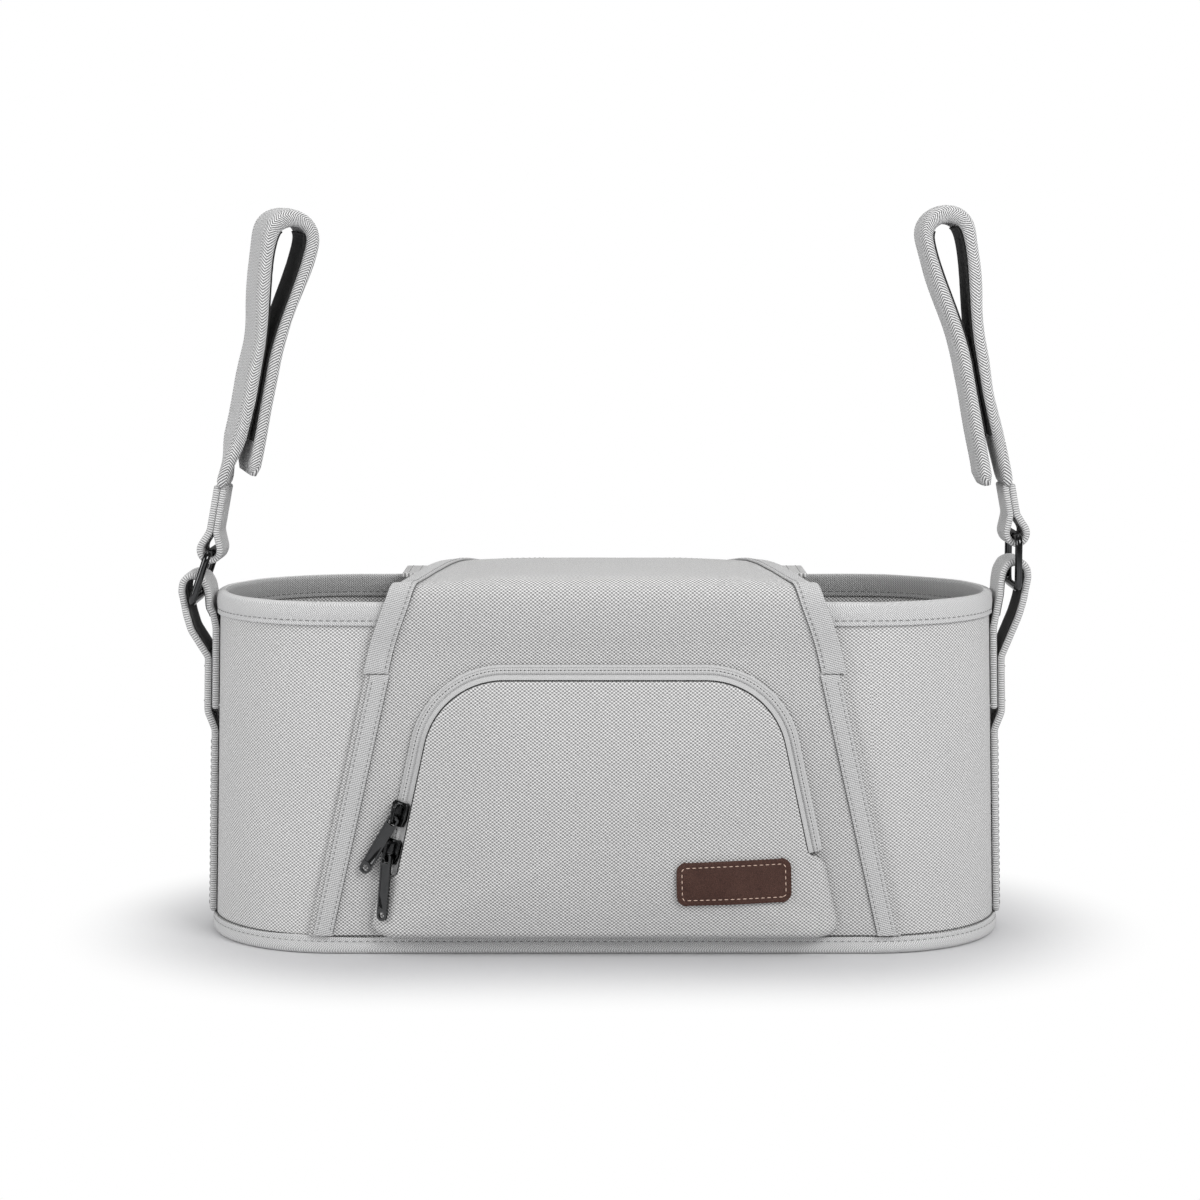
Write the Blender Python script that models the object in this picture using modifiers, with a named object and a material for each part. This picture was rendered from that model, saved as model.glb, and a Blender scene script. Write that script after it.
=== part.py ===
"""Stroller organizer: a soft caddy that hangs between the uprights of a pushchair.

The tub is one strip of woven fabric with an oval footprint, bound at the rim and the hem,
with a stiff board and two dividers inside. A tapering panel is sewn up its front, carries
an arched zip pocket with two sliders and goes over the middle of the rim as a flap. A
loop of webbing at each end holds a metal ring, and the padded strap on that ring closes
round the handlebar with hook-and-loop tape.

Metres, +Z up. The origin is the middle of the base on the floor, the front faces -Y, and
+X is the right-hand end as seen from the front.
"""
import math

import bmesh
import bpy
from mathutils import Matrix, Vector

# Clearance between two plies, and the distance under which two points are one
GAP = 0.0003
MERGE = 0.00001

# Tub
BASE_HALF_LENGTH = 0.180
RIM_HALF_LENGTH = 0.176
HALF_DEPTH = 0.060
RIM_Z = 0.156
WALL_T = 0.0024
END_STEPS = 16

# Bound edges
BINDING_T = 0.0010
RIM_BAND = 0.009
HEM_T = 0.0012
HEM_BAND = 0.008
HEM_FOLD = 0.0030

# Base, dividers and cup liners
BASE_T = 0.0018
BOARD_T = 0.0020
DIVIDER_X = 0.092
DIVIDER_T = 0.0024
LINER_T = 0.0015
LINER_DROP = 0.016
LINER_CORNER = 0.009
LINER_CORNER_SHARE = 0.9

# Centre panel: it tapers by this much of half width for each metre of its length
PANEL_T = 0.0022
PANEL_FOOT_HALF_WIDTH = 0.1315
PANEL_TAPER = 0.2265
PANEL_FOOT_CLEARANCE = 0.0008
PANEL_COLUMNS = 6
RIM_EASE = 0.0002
SHOULDER_Z = 0.157
SHOULDER_DEPTH = 0.0115
SHOULDER_RISE = 0.0105
SHOULDER_STEPS = 5
CREST_Y = -0.005
CREST_RISE = 0.0015
FLAP_BACK_Y = 0.050
FLAP_BACK_DROP = 0.0028
FLAP_DROOP = 0.003

# Tapes on the panel's edges, split by the sewn tack that ends the flap
TACK_Z = 0.1258
FRONT_TAPE_T = 0.0010
FRONT_TAPE_WIDTH = 0.0083
FRONT_TAPE_MARGIN = 0.0022
FLAP_BINDING_WIDTH = 0.0102
FLAP_BINDING_OVERHANG = 0.0004

# Rear flap and the magnets that close the front one on it
REAR_FLAP_T = 0.0022
REAR_FLAP_HALF_WIDTH = 0.0945
REAR_FLAP_FOOT_Z = 0.108
REAR_FLAP_LIFT = 0.0032
REAR_FLAP_CORNER = 0.0043
REAR_FLAP_FRONT_Y = 0.022
MAGNET_RADIUS = 0.008
MAGNET_T = 0.002
MAGNET_X = 0.038
MAGNET_Y = 0.036

# Zip pocket: outline, dome and the leaning band that the zipper lies in
POCKET_BASE_HALF_WIDTH = 0.104
POCKET_BASE_CLEARANCE = 0.002
POCKET_TOP_Z = 0.130
POCKET_CORNER_RADIUS = 0.042
POCKET_SIDE_ANGLE = math.radians(12.2)
POCKET_FACE_T = 0.0012
POCKET_DEPTH = 0.0155
POCKET_CROWN_Z = 0.055
CORNER_STEPS = 9
ZIP_LEAN = math.radians(32.6)
ZIP_LIFT = 0.00075
ZIP_TAPE_T = 0.0007
ZIP_CHAIN_T = 0.0011
ZIP_LEFT_Z = 0.038
ZIP_RIGHT_Z = 0.048
OUTER_TAPE = (0.0002, 0.0026)
ZIP_CHAIN = (0.0017, 0.0049)
INNER_TAPE = (0.0040, 0.0100)

# Sliders and their pull tabs
SLIDER_WIDTH = 0.0080
SLIDER_LENGTH = 0.0110
SLIDER_T = 0.0010
SLIDER_FLANGE_T = 0.0011
SLIDER_WAIST = 0.0032
SLIDER_BEVEL = 0.0014
BAIL_INNER_LENGTH = 0.0065
BAIL_INNER_RISE = 0.0032
BAIL_WIRE = 0.0012
BAIL_RADIUS = 0.0016
BAIL_LAP = 0.0002
UPPER_HINGE_Z = 0.063
HINGE_SPACING = 0.017
CROSSBAR_BELOW_CENTRE = 0.0019
PULL_WIDTH = 0.0052
PULL_LENGTH = 0.0295
PULL_T = 0.0014
PULL_CROSSBAR = 0.0011
PULL_SLOT_END = 0.0036
PULL_SLOT_HALF_WIDTH = 0.00175
PULL_EYE_RADIUS = 0.0016
PULL_RECESS = 0.0003
PULL_CHAMFER = 0.0006
PULL_FRAME = 0.0008
PULL_RECESS_START = 0.0010
PULL_RECESS_END = 0.0014
UPPER_PULL_DIRECTION = Vector((-0.494, 0.15, -0.856)).normalized()
LOWER_PULL_YAW = math.radians(6.7)
LOWER_PULL_DIP = 0.06

# Leather patch
PATCH_LENGTH = 0.050
PATCH_HEIGHT = 0.019
PATCH_T = 0.0015
PATCH_CORNER = 0.004
PATCH_X = POCKET_BASE_HALF_WIDTH - 0.0475
PATCH_Z = HEM_BAND + POCKET_BASE_CLEARANCE + 0.0257
PATCH_TURN = math.radians(1.4)

# End webbing and rings
WEBBING_T = 0.0025
WEBBING_WIDTH = 0.026
WEBBING_FOOT_CLEARANCE = 0.0005
WEBBING_TAIL_Z = 0.102
WEBBING_JOG = 0.009
WEBBING_KINK_Z = 0.1265
WEBBING_OUTWARD = 0.0115
# The slack loop that the ring hangs in, out from the ring's bar and up from it
WEBBING_LOOP = ((0.0012, -0.0130), (0.0030, -0.0060), (0.0037, 0.0), (0.0049, 0.0045),
                (0.0045, 0.0085), (0.0025, 0.0112), (-0.0007, 0.0120), (-0.0042, 0.0106),
                (-0.0063, 0.0070), (-0.0072, 0.0025), (-0.0076, -0.0030))
LEFT_RING_BAR_Z = 0.1520
RIGHT_RING_BAR_Z = 0.1585
RING_WIRE_RADIUS = 0.0017
RING_HEIGHT = 0.0235
RING_SIDE_CLEARANCE = 0.0035
RING_CORNER = 0.004
LEFT_RING_TILT = math.radians(19.0)
RIGHT_RING_TILT = 0.0

# Straps: their line is in the strap's own frame, across towards the bag and up
LINK_WIDTH = 0.024
LEFT_LINK_LENGTH = 0.0305
RIGHT_LINK_LENGTH = 0.0235
STRAP_T = 0.0048
STRAP_WIDTH = 0.036
STRAP_LEAN = math.radians(10.5)
STRAP_CLOSED_Z = 0.060
STRAP_BEND_Z = 0.1165
STRAP_EYE_RADIUS = 0.0098
STRAP_CLOSED_HALF_GAP = 0.0038
STRAP_CLOSED_X = 0.0064
STRAP_BEND_X = 0.0086
LEFT_STRAP_TAIL_Z = 0.008
RIGHT_STRAP_TAIL_Z = 0.002
STRAP_TAIL_X = 0.0098
LEFT_STRAP_TWIST = math.radians(17.0)
RIGHT_STRAP_TWIST = 0.0
HOOK_TAPE_T = 0.0007
HOOK_TAPE_WIDTH = 0.032
HOOK_TAPE_Z = (0.024, 0.105)

# Finishes: colour, roughness, metallic
CLOTH = ((0.52, 0.50, 0.50, 1.0), 0.9, 0.0)
LINING = ((0.32, 0.31, 0.31, 1.0), 0.9, 0.0)
TAPE = ((0.50, 0.49, 0.48, 1.0), 0.8, 0.0)
BOARD = ((0.20, 0.20, 0.20, 1.0), 0.7, 0.0)
LEATHER = ((0.080, 0.034, 0.023, 1.0), 0.55, 0.0)
GUNMETAL = ((0.055, 0.058, 0.060, 1.0), 0.28, 1.0)
MAGNET = ((0.55, 0.55, 0.56, 1.0), 0.35, 1.0)
HOOK = ((0.010, 0.010, 0.011, 1.0), 0.95, 0.0)

# Places that follow from the sizes above
FRONT_FACE_Y = -(HALF_DEPTH + GAP + PANEL_T)
BOARD_Z = BASE_T + GAP
FLOOR_Z = BOARD_Z + BOARD_T + GAP
DIVIDER_TOP_Z = RIM_Z - RIM_BAND - GAP
BAND_CENTRE = (ZIP_CHAIN[0] + ZIP_CHAIN[1]) / 2
CHAIN_B = ZIP_TAPE_T / 2 + GAP + ZIP_CHAIN_T / 2
SLIDER_B = CHAIN_B + ZIP_CHAIN_T / 2 + GAP
CROSSBAR_B = SLIDER_B + SLIDER_T + BAIL_INNER_RISE / 2 + BAIL_LAP


def lerp(a, b, t):
    """The value a share t of the way from a to b."""
    return a + (b - a) * t


def ease(t):
    """A share between 0 and 1 with a soft start and end."""
    t = min(max(t, 0.0), 1.0)
    return t * t * (3 - 2 * t)


def along(knots, value):
    """The height of a line of straight stretches through (place, height) knots."""
    for (x0, y0), (x1, y1) in zip(knots, knots[1:]):
        if value <= x1:
            return lerp(y0, y1, (value - x0) / (x1 - x0))
    return knots[-1][1]


def clear_scene():
    """Remove what the file holds and make the two collections."""
    for obj in list(bpy.data.objects):
        bpy.data.objects.remove(obj)
    folders = {}
    for name in ("stroller_organizer", "cutters"):
        folders[name] = bpy.data.collections.new(name)
        bpy.context.scene.collection.children.link(folders[name])
    return folders["stroller_organizer"], folders["cutters"]


PARTS, CUTTERS = clear_scene()


def finish_material(name, finish):
    """A Principled material with one colour, roughness and metallic value."""
    material = bpy.data.materials.new(name)
    material.use_nodes = True
    shader = material.node_tree.nodes["Principled BSDF"]
    shader.inputs["Base Color"].default_value = finish[0]
    shader.inputs["Roughness"].default_value = finish[1]
    shader.inputs["Metallic"].default_value = finish[2]
    return material


def add_object(name, bm, finish, parent=None):
    """Turn a bmesh into a named part under its parent."""
    bmesh.ops.recalc_face_normals(bm, faces=bm.faces)
    mesh = bpy.data.meshes.new(name)
    bm.to_mesh(mesh)
    bm.free()
    mesh.materials.append(finish_material(name, finish))
    mesh.shade_smooth()
    mesh.set_sharp_from_angle(angle=math.radians(35))
    obj = bpy.data.objects.new(name, mesh)
    obj.parent = parent
    PARTS.objects.link(obj)
    return obj


def add_pivot(name, location, turn):
    """An empty on a joint's axis, turned about the axis across the bag."""
    pivot = bpy.data.objects.new(name, None)
    pivot.empty_display_size = 0.01
    pivot.location = location
    pivot.rotation_euler = (0.0, turn, 0.0)
    PARTS.objects.link(pivot)
    return pivot


def surface(rows, closed=False, fill=None):
    """A grid of faces through rows of points; fill names the row that gets a floor."""
    if closed:
        rows = [row + row[:1] for row in rows]
    bm = bmesh.new()
    bmesh.ops.create_grid(bm, x_segments=len(rows[0]) - 1, y_segments=len(rows) - 1, size=0.5)
    points = [point for row in rows for point in row]
    for vertex, point in zip(bm.verts, points):
        vertex.co = point
    floor = []
    if fill is not None:
        first = fill * len(rows[0])
        bm.verts.ensure_lookup_table()
        floor = [bm.verts[first + i] for i in range(len(rows[0]) - 1)]
    bmesh.ops.remove_doubles(bm, verts=bm.verts, dist=MERGE)
    if floor:
        bmesh.ops.contextual_create(bm, geom=[vertex for vertex in floor if vertex.is_valid])
    return bm


def add_sheet(name, rows, thickness, finish, closed=False, fill=None, parent=None):
    """A ply of fabric: a surface through its middle, thickened to both sides."""
    obj = add_object(name, surface(rows, closed, fill), finish, parent)
    ply = obj.modifiers.new("Ply", "SOLIDIFY")
    ply.thickness = thickness
    ply.offset = 0.0
    ply.use_even_offset = True
    return obj


def add_sweep(name, sections, finish, parent=None):
    """A solid run of closed sections with a flat cap at each end."""
    bm = surface(sections, closed=True)
    bmesh.ops.holes_fill(bm, edges=bm.edges, sides=0)
    return add_object(name, bm, finish, parent)


def plate_mesh(outlines, depth):
    """A flat outline with its holes, filled as a 2D curve and extruded about its plane."""
    curve = bpy.data.curves.new("outline", "CURVE")
    curve.dimensions = "2D"
    curve.fill_mode = "BOTH"
    curve.extrude = depth / 2
    for outline in outlines:
        spline = curve.splines.new("POLY")
        spline.points.add(len(outline) - 1)
        spline.use_cyclic_u = True
        for point, (x, y) in zip(spline.points, outline):
            point.co = (x, y, 0.0, 1.0)
    holder = bpy.data.objects.new("outline", curve)
    CUTTERS.objects.link(holder)
    graph = bpy.context.evaluated_depsgraph_get()
    mesh = bpy.data.meshes.new_from_object(holder.evaluated_get(graph))
    bpy.data.objects.remove(holder)
    bm = bmesh.new()
    bm.from_mesh(mesh)
    bpy.data.meshes.remove(mesh)
    bmesh.ops.remove_doubles(bm, verts=bm.verts, dist=MERGE)
    return bm


def add_plate(name, outlines, depth, finish, matrix):
    """A plate part, placed by its matrix."""
    obj = add_object(name, plate_mesh(outlines, depth), finish)
    obj.matrix_world = matrix
    return obj


def add_helper(name, bm, matrix):
    """A wire shape in the cutters' collection that a Boolean uses."""
    bmesh.ops.recalc_face_normals(bm, faces=bm.faces)
    mesh = bpy.data.meshes.new(name)
    bm.to_mesh(mesh)
    bm.free()
    helper = bpy.data.objects.new(name, mesh)
    helper.matrix_world = matrix
    helper.hide_render = True
    helper.display_type = "WIRE"
    CUTTERS.objects.link(helper)
    return helper


def combine(obj, operation, helper):
    """Join or cut a part with a helper shape."""
    boolean = obj.modifiers.new(operation.title(), "BOOLEAN")
    boolean.operation = operation
    boolean.object = helper
    boolean.solver = "EXACT"


def rounded_rectangle(half_width, half_height, radius, corner_steps, side_steps=1):
    """A rounded rectangle about the origin, anticlockwise from its lower right corner."""
    points = []
    for corner, (sx, sy) in enumerate(((1, -1), (1, 1), (-1, 1), (-1, -1))):
        for step in range(corner_steps + 1):
            angle = math.radians(90) * (corner - 1 + step / corner_steps)
            x = sx * (half_width - radius) + radius * math.cos(angle)
            y = sy * (half_height - radius) + radius * math.sin(angle)
            points.append((x, y))
    outline = []
    for (x0, y0), (x1, y1) in zip(points, points[1:] + points[:1]):
        outline.append((x0, y0))
        if math.hypot(x1 - x0, y1 - y0) > radius:
            for step in range(1, side_steps):
                outline.append((lerp(x0, x1, step / side_steps), lerp(y0, y1, step / side_steps)))
    return outline


# Tub


def half_length(z):
    """The tub narrows a little towards its rim."""
    return lerp(BASE_HALF_LENGTH, RIM_HALF_LENGTH, z / RIM_Z)


def footprint(z, inset):
    """The oval of the tub at one height, this far inside the wall's outer face."""
    centre = half_length(z) - HALF_DEPTH
    radius = HALF_DEPTH - inset
    points = []
    for side in (1, -1):
        for step in range(END_STEPS + 1):
            angle = math.pi * (step / END_STEPS - 0.5)
            x = side * (centre + radius * math.cos(angle))
            points.append(Vector((x, side * radius * math.sin(angle), z)))
    return points


def make_tub():
    """The wall, its two bound edges, the base cloth and the stiff board on it."""
    wall_rows = [footprint(z, WALL_T / 2) for z in (HEM_T + GAP, RIM_Z)]
    add_sheet("outer_wall", wall_rows, WALL_T, CLOTH, closed=True)
    outside = -(GAP + BINDING_T / 2)
    inside = WALL_T + GAP + BINDING_T / 2
    top = RIM_Z + GAP + BINDING_T / 2
    round_over = BINDING_T / 2
    foot = RIM_Z - RIM_BAND
    rim_path = [(outside, foot), (outside, top - round_over), (outside + round_over, top),
                (inside - round_over, top), (inside, top - round_over), (inside, foot)]
    rim_rows = [footprint(z, inset) for inset, z in rim_path]
    add_sheet("rim_binding", rim_rows, BINDING_T, TAPE, closed=True)
    outside = -(GAP + HEM_T / 2)
    hem_path = [(outside, HEM_BAND), (outside, HEM_T / 2), (HEM_FOLD, HEM_T / 2)]
    hem_rows = [footprint(z, inset) for inset, z in hem_path]
    add_sheet("hem_binding", hem_rows, HEM_T, TAPE, closed=True)
    base_outline = [point.xy for point in footprint(0.0, HEM_FOLD + GAP)]
    base_place = Matrix.Translation((0.0, 0.0, BASE_T / 2))
    add_plate("base_panel", [base_outline], BASE_T, CLOTH, base_place)
    board_outline = [point.xy for point in footprint(BOARD_Z, WALL_T + GAP)]
    board_place = Matrix.Translation((0.0, 0.0, BOARD_Z + BOARD_T / 2))
    add_plate("base_board", [board_outline], BOARD_T, BOARD, board_place)


def make_divider(name, side):
    """A stiffened wall across the tub between its middle and one cup holder."""
    bpy.ops.mesh.primitive_cube_add(size=1.0)
    divider = bpy.context.object
    divider.name = name
    divider.data.name = name
    depth = 2 * (HALF_DEPTH - WALL_T - GAP)
    height = DIVIDER_TOP_Z - FLOOR_Z
    divider.data.transform(Matrix.Diagonal((DIVIDER_T, depth, height, 1.0)))
    divider.location = (side * DIVIDER_X, 0.0, FLOOR_Z + height / 2)
    divider.data.materials.append(finish_material(name, LINING))
    for folder in divider.users_collection:
        folder.objects.unlink(divider)
    PARTS.objects.link(divider)


def liner_outline(z, inset, side):
    """A D: flat along the divider, round along the tub's end."""
    centre = half_length(z) - HALF_DEPTH
    radius = HALF_DEPTH - WALL_T - GAP - inset
    flat = DIVIDER_X + DIVIDER_T / 2 + GAP + inset
    corner = min(LINER_CORNER, LINER_CORNER_SHARE * (centre - flat))
    points = []
    for step in range(END_STEPS + 1):
        angle = math.pi * (step / END_STEPS - 0.5)
        points.append((centre + radius * math.cos(angle), radius * math.sin(angle)))
    for turn in (90, 120, 150, 180):
        angle = math.radians(turn)
        x = flat + corner + corner * math.cos(angle)
        points.append((x, radius - corner + corner * math.sin(angle)))
    for turn in (180, 210, 240, 270):
        angle = math.radians(turn)
        x = flat + corner + corner * math.cos(angle)
        points.append((x, corner - radius + corner * math.sin(angle)))
    return [Vector((side * x, y, z)) for x, y in points]


def make_liner(name, side):
    """A cup holder's lining: a D-shaped pouch open at the top."""
    heights = (FLOOR_Z + LINER_T / 2, RIM_Z - LINER_DROP)
    rows = [liner_outline(z, LINER_T / 2, side) for z in heights]
    add_sheet(name, rows, LINER_T, LINING, closed=True, fill=0)


# Centre panel and flaps


def panel_path():
    """The panel's middle seen from its end: up the wall, over the rim and back as a flap."""
    on_wall = -(HALF_DEPTH + GAP + PANEL_T / 2)
    on_rim = on_wall - BINDING_T - GAP - RIM_EASE
    foot = HEM_BAND + PANEL_FOOT_CLEARANCE
    path = [(on_wall, lerp(foot, TACK_Z, t)) for t in (0, 0.34, 0.67, 1)]
    path += [(on_wall, RIM_Z - 2.2 * RIM_BAND), (on_rim, RIM_Z - RIM_BAND)]
    for step in range(SHOULDER_STEPS + 1):
        angle = math.radians(90) * step / SHOULDER_STEPS
        y = on_rim + SHOULDER_DEPTH * (1 - math.cos(angle))
        path.append((y, SHOULDER_Z + SHOULDER_RISE * math.sin(angle)))
    top = SHOULDER_Z + SHOULDER_RISE
    path += [(CREST_Y - 0.025, top + 0.8 * CREST_RISE), (CREST_Y, top + CREST_RISE)]
    path += [(CREST_Y + 0.020, top + 0.6 * CREST_RISE), (0.6 * FLAP_BACK_Y, top)]
    path.append((FLAP_BACK_Y, top + CREST_RISE - FLAP_BACK_DROP))
    return [Vector(point) for point in path]


def path_lengths(path):
    """The distance from the foot of the path to each of its points."""
    lengths = [0.0]
    for start, end in zip(path, path[1:]):
        lengths.append(lengths[-1] + (end - start).length)
    return lengths


PANEL_PATH = panel_path()
PANEL_LENGTHS = path_lengths(PANEL_PATH)
TACK_S = TACK_Z - PANEL_PATH[0].y


def path_normals(path):
    """The outward direction at each point of a path that runs up the front and back."""
    normals = []
    for i in range(len(path)):
        run = path[min(i + 1, len(path) - 1)] - path[max(i - 1, 0)]
        normals.append(Vector((-run.y, run.x)).normalized())
    return normals


PANEL_NORMALS = path_normals(PANEL_PATH)


def panel_half_width(s):
    """Half the panel's width this far along it."""
    return PANEL_FOOT_HALF_WIDTH - PANEL_TAPER * s


def panel_point(s, x, lift):
    """A point over the panel: s along it, x across it and this far out from its middle."""
    y = along(list(zip(PANEL_LENGTHS, [p.x for p in PANEL_PATH])), s)
    z = along(list(zip(PANEL_LENGTHS, [p.y for p in PANEL_PATH])), s)
    normal_y = along(list(zip(PANEL_LENGTHS, [n.x for n in PANEL_NORMALS])), s)
    normal_z = along(list(zip(PANEL_LENGTHS, [n.y for n in PANEL_NORMALS])), s)
    y += lift * normal_y
    z += lift * normal_z
    beyond = abs(x) - (half_length(z) - HALF_DEPTH)
    if beyond > 0 and y < -HALF_DEPTH:
        y = -math.sqrt(y * y - beyond * beyond)
    sag = max(0.0, 1 - ((y + 0.015) / 0.040) ** 2)
    z -= FLAP_DROOP * sag * (abs(x) / panel_half_width(s)) ** 4
    return Vector((x, y, z))


def make_centre_panel():
    """The tapering panel, with a column of points under each edge of its tapes."""
    rows = []
    for s in PANEL_LENGTHS:
        half = panel_half_width(s)
        margin = half - FRONT_TAPE_MARGIN
        inner = margin - FRONT_TAPE_WIDTH
        middle = [lerp(-inner, inner, i / PANEL_COLUMNS) for i in range(PANEL_COLUMNS + 1)]
        columns = [-half, -margin] + middle + [margin, half]
        rows.append([panel_point(s, x, 0.0) for x in columns])
    add_sheet("centre_panel", rows, PANEL_T, CLOTH)


def make_edge_tapes(prefix, side):
    """The sewn-down tape below the tack and the flap's binding above it."""
    lift = PANEL_T / 2 + GAP + FRONT_TAPE_T / 2
    below = [s for s in PANEL_LENGTHS if s < TACK_S - GAP] + [TACK_S - GAP / 2]
    above = [TACK_S + GAP / 2] + [s for s in PANEL_LENGTHS if s > TACK_S + GAP]
    rows = []
    for s in below:
        outer = panel_half_width(s) - FRONT_TAPE_MARGIN
        inner = outer - FRONT_TAPE_WIDTH
        rows.append([panel_point(s, side * x, lift) for x in (inner, outer)])
    add_sheet(prefix + "_front_tape", rows, FRONT_TAPE_T, TAPE)
    rows = []
    for s in above:
        outer = panel_half_width(s) + FLAP_BINDING_OVERHANG
        inner = outer - FLAP_BINDING_WIDTH
        middle = outer - FRONT_TAPE_MARGIN
        rows.append([panel_point(s, side * x, lift) for x in (inner, middle, outer)])
    add_sheet(prefix + "_flap_binding", rows, FRONT_TAPE_T, TAPE)


def make_rear_flap():
    """The wider flap that comes over the rear rim and lies under the front one."""
    on_wall = HALF_DEPTH + GAP + REAR_FLAP_T / 2
    on_rim = on_wall + BINDING_T + GAP + RIM_EASE
    top = RIM_Z + GAP + BINDING_T + REAR_FLAP_LIFT
    path = [(on_wall, REAR_FLAP_FOOT_Z), (on_wall, RIM_Z - 1.8 * RIM_BAND)]
    path.append((on_rim, RIM_Z - RIM_BAND))
    for step in range(4):
        angle = math.radians(90) * step / 3
        y = on_rim - REAR_FLAP_CORNER * (1 - math.cos(angle))
        path.append((y, top - REAR_FLAP_CORNER + REAR_FLAP_CORNER * math.sin(angle)))
    path.append((REAR_FLAP_FRONT_Y, top))
    columns = [lerp(-REAR_FLAP_HALF_WIDTH, REAR_FLAP_HALF_WIDTH, i / 4) for i in range(5)]
    rows = [[Vector((x, y, z)) for x in columns] for y, z in path]
    add_sheet("rear_flap", rows, REAR_FLAP_T, CLOTH)
    magnet_z = top + REAR_FLAP_T / 2 + GAP + MAGNET_T / 2
    for name, side in (("left_flap_magnet", -1), ("right_flap_magnet", 1)):
        bm = bmesh.new()
        bmesh.ops.create_cone(bm, cap_ends=True, segments=24, radius1=MAGNET_RADIUS,
                              radius2=MAGNET_RADIUS, depth=MAGNET_T)
        magnet = add_object(name, bm, MAGNET)
        magnet.location = (side * MAGNET_X, MAGNET_Y, magnet_z)


# Zip pocket


SIDE_NORMAL = Vector((math.cos(POCKET_SIDE_ANGLE), math.sin(POCKET_SIDE_ANGLE)))
POCKET_FOOT_Z = HEM_BAND + POCKET_BASE_CLEARANCE
CORNER_Z = POCKET_TOP_Z - POCKET_CORNER_RADIUS
CORNER_X = POCKET_BASE_HALF_WIDTH - (
    (POCKET_CORNER_RADIUS + (CORNER_Z - POCKET_FOOT_Z) * SIDE_NORMAL.y) / SIDE_NORMAL.x)
SIDE_TOP_Z = CORNER_Z + POCKET_CORNER_RADIUS * SIDE_NORMAL.y


def side_station(side, z):
    """A point of the pocket's straight side and the direction into the pocket there."""
    x = POCKET_BASE_HALF_WIDTH - (z - POCKET_FOOT_Z) * math.tan(POCKET_SIDE_ANGLE)
    inward = Vector((-side * SIDE_NORMAL.x, -SIDE_NORMAL.y))
    return Vector((side * x, z)), inward


def pocket_stations(left_heights, right_heights):
    """Up the left side, round the arch and down the right side of the pocket."""
    stations = [side_station(-1, z) for z in left_heights]
    sweep = math.pi / 2 - POCKET_SIDE_ANGLE
    for side in (-1, 1):
        for step in range(CORNER_STEPS + 1):
            turn = sweep * step / CORNER_STEPS
            if side > 0:
                turn = sweep - turn
            angle = POCKET_SIDE_ANGLE + turn
            out = Vector((side * math.cos(angle), math.sin(angle)))
            point = Vector((side * CORNER_X, CORNER_Z)) + out * POCKET_CORNER_RADIUS
            stations.append((point, -out))
        if side < 0:
            for share in (0.25, 0.5, 0.75):
                x = lerp(-CORNER_X, CORNER_X, share)
                stations.append((Vector((x, POCKET_TOP_Z)), Vector((0.0, -1.0))))
    stations += [side_station(1, z) for z in right_heights]
    return stations


def band_offset(s, b):
    """How far into the pocket and out from the panel a place on the leaning band lies."""
    inward = s * math.cos(ZIP_LEAN) - b * math.sin(ZIP_LEAN)
    out = ZIP_LIFT + s * math.sin(ZIP_LEAN) + b * math.cos(ZIP_LEAN)
    return inward, out


def pocket_point(station, inward, out):
    """A point this far inside the pocket's outline and out from the panel's face."""
    place = station[0] + station[1] * inward
    return Vector((place.x, FRONT_FACE_Y - out, place.y))


def zip_stations():
    """The stretch of the outline that the zipper runs along."""
    left = [lerp(ZIP_LEFT_Z, SIDE_TOP_Z, t) for t in (0, 0.33, 0.66)]
    right = [lerp(SIDE_TOP_Z, ZIP_RIGHT_Z, t) for t in (0.34, 0.67, 1)]
    return pocket_stations(left, right)


def make_zipper():
    """Two tapes and the closed chain between them, all on the leaning band."""
    strips = (("zipper_outer_tape", OUTER_TAPE, 0.0, ZIP_TAPE_T, TAPE),
              ("zipper_chain", ZIP_CHAIN, CHAIN_B, ZIP_CHAIN_T, TAPE),
              ("zipper_inner_tape", INNER_TAPE, 0.0, ZIP_TAPE_T, TAPE))
    for name, (start, end), b, thickness, finish in strips:
        rows = []
        for station in zip_stations():
            rows.append([pocket_point(station, *band_offset(s, b)) for s in (start, end)])
        add_sheet(name, rows, thickness, finish)


FACE_B = ZIP_TAPE_T / 2 + 2 * GAP + POCKET_FACE_T / 2
SIDE_RINGS_AT_ZIP = ((0.0086, FACE_B), (0.0097, FACE_B + 0.00005), (0.0110, 0.0011))
SIDE_RINGS_BELOW_ZIP = ((0.0006, 0.00035), (0.0050, 0.0007), (0.0110, 0.0011))
BOTTOM_RINGS = ((0.0, 0.0011), (-0.0008, 0.0050), (0.0010, 0.0090))
BOTTOM_CORNER_OUT = 0.0076
DOME_SHARES = (0.86, 0.68, 0.48, 0.25)


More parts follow.
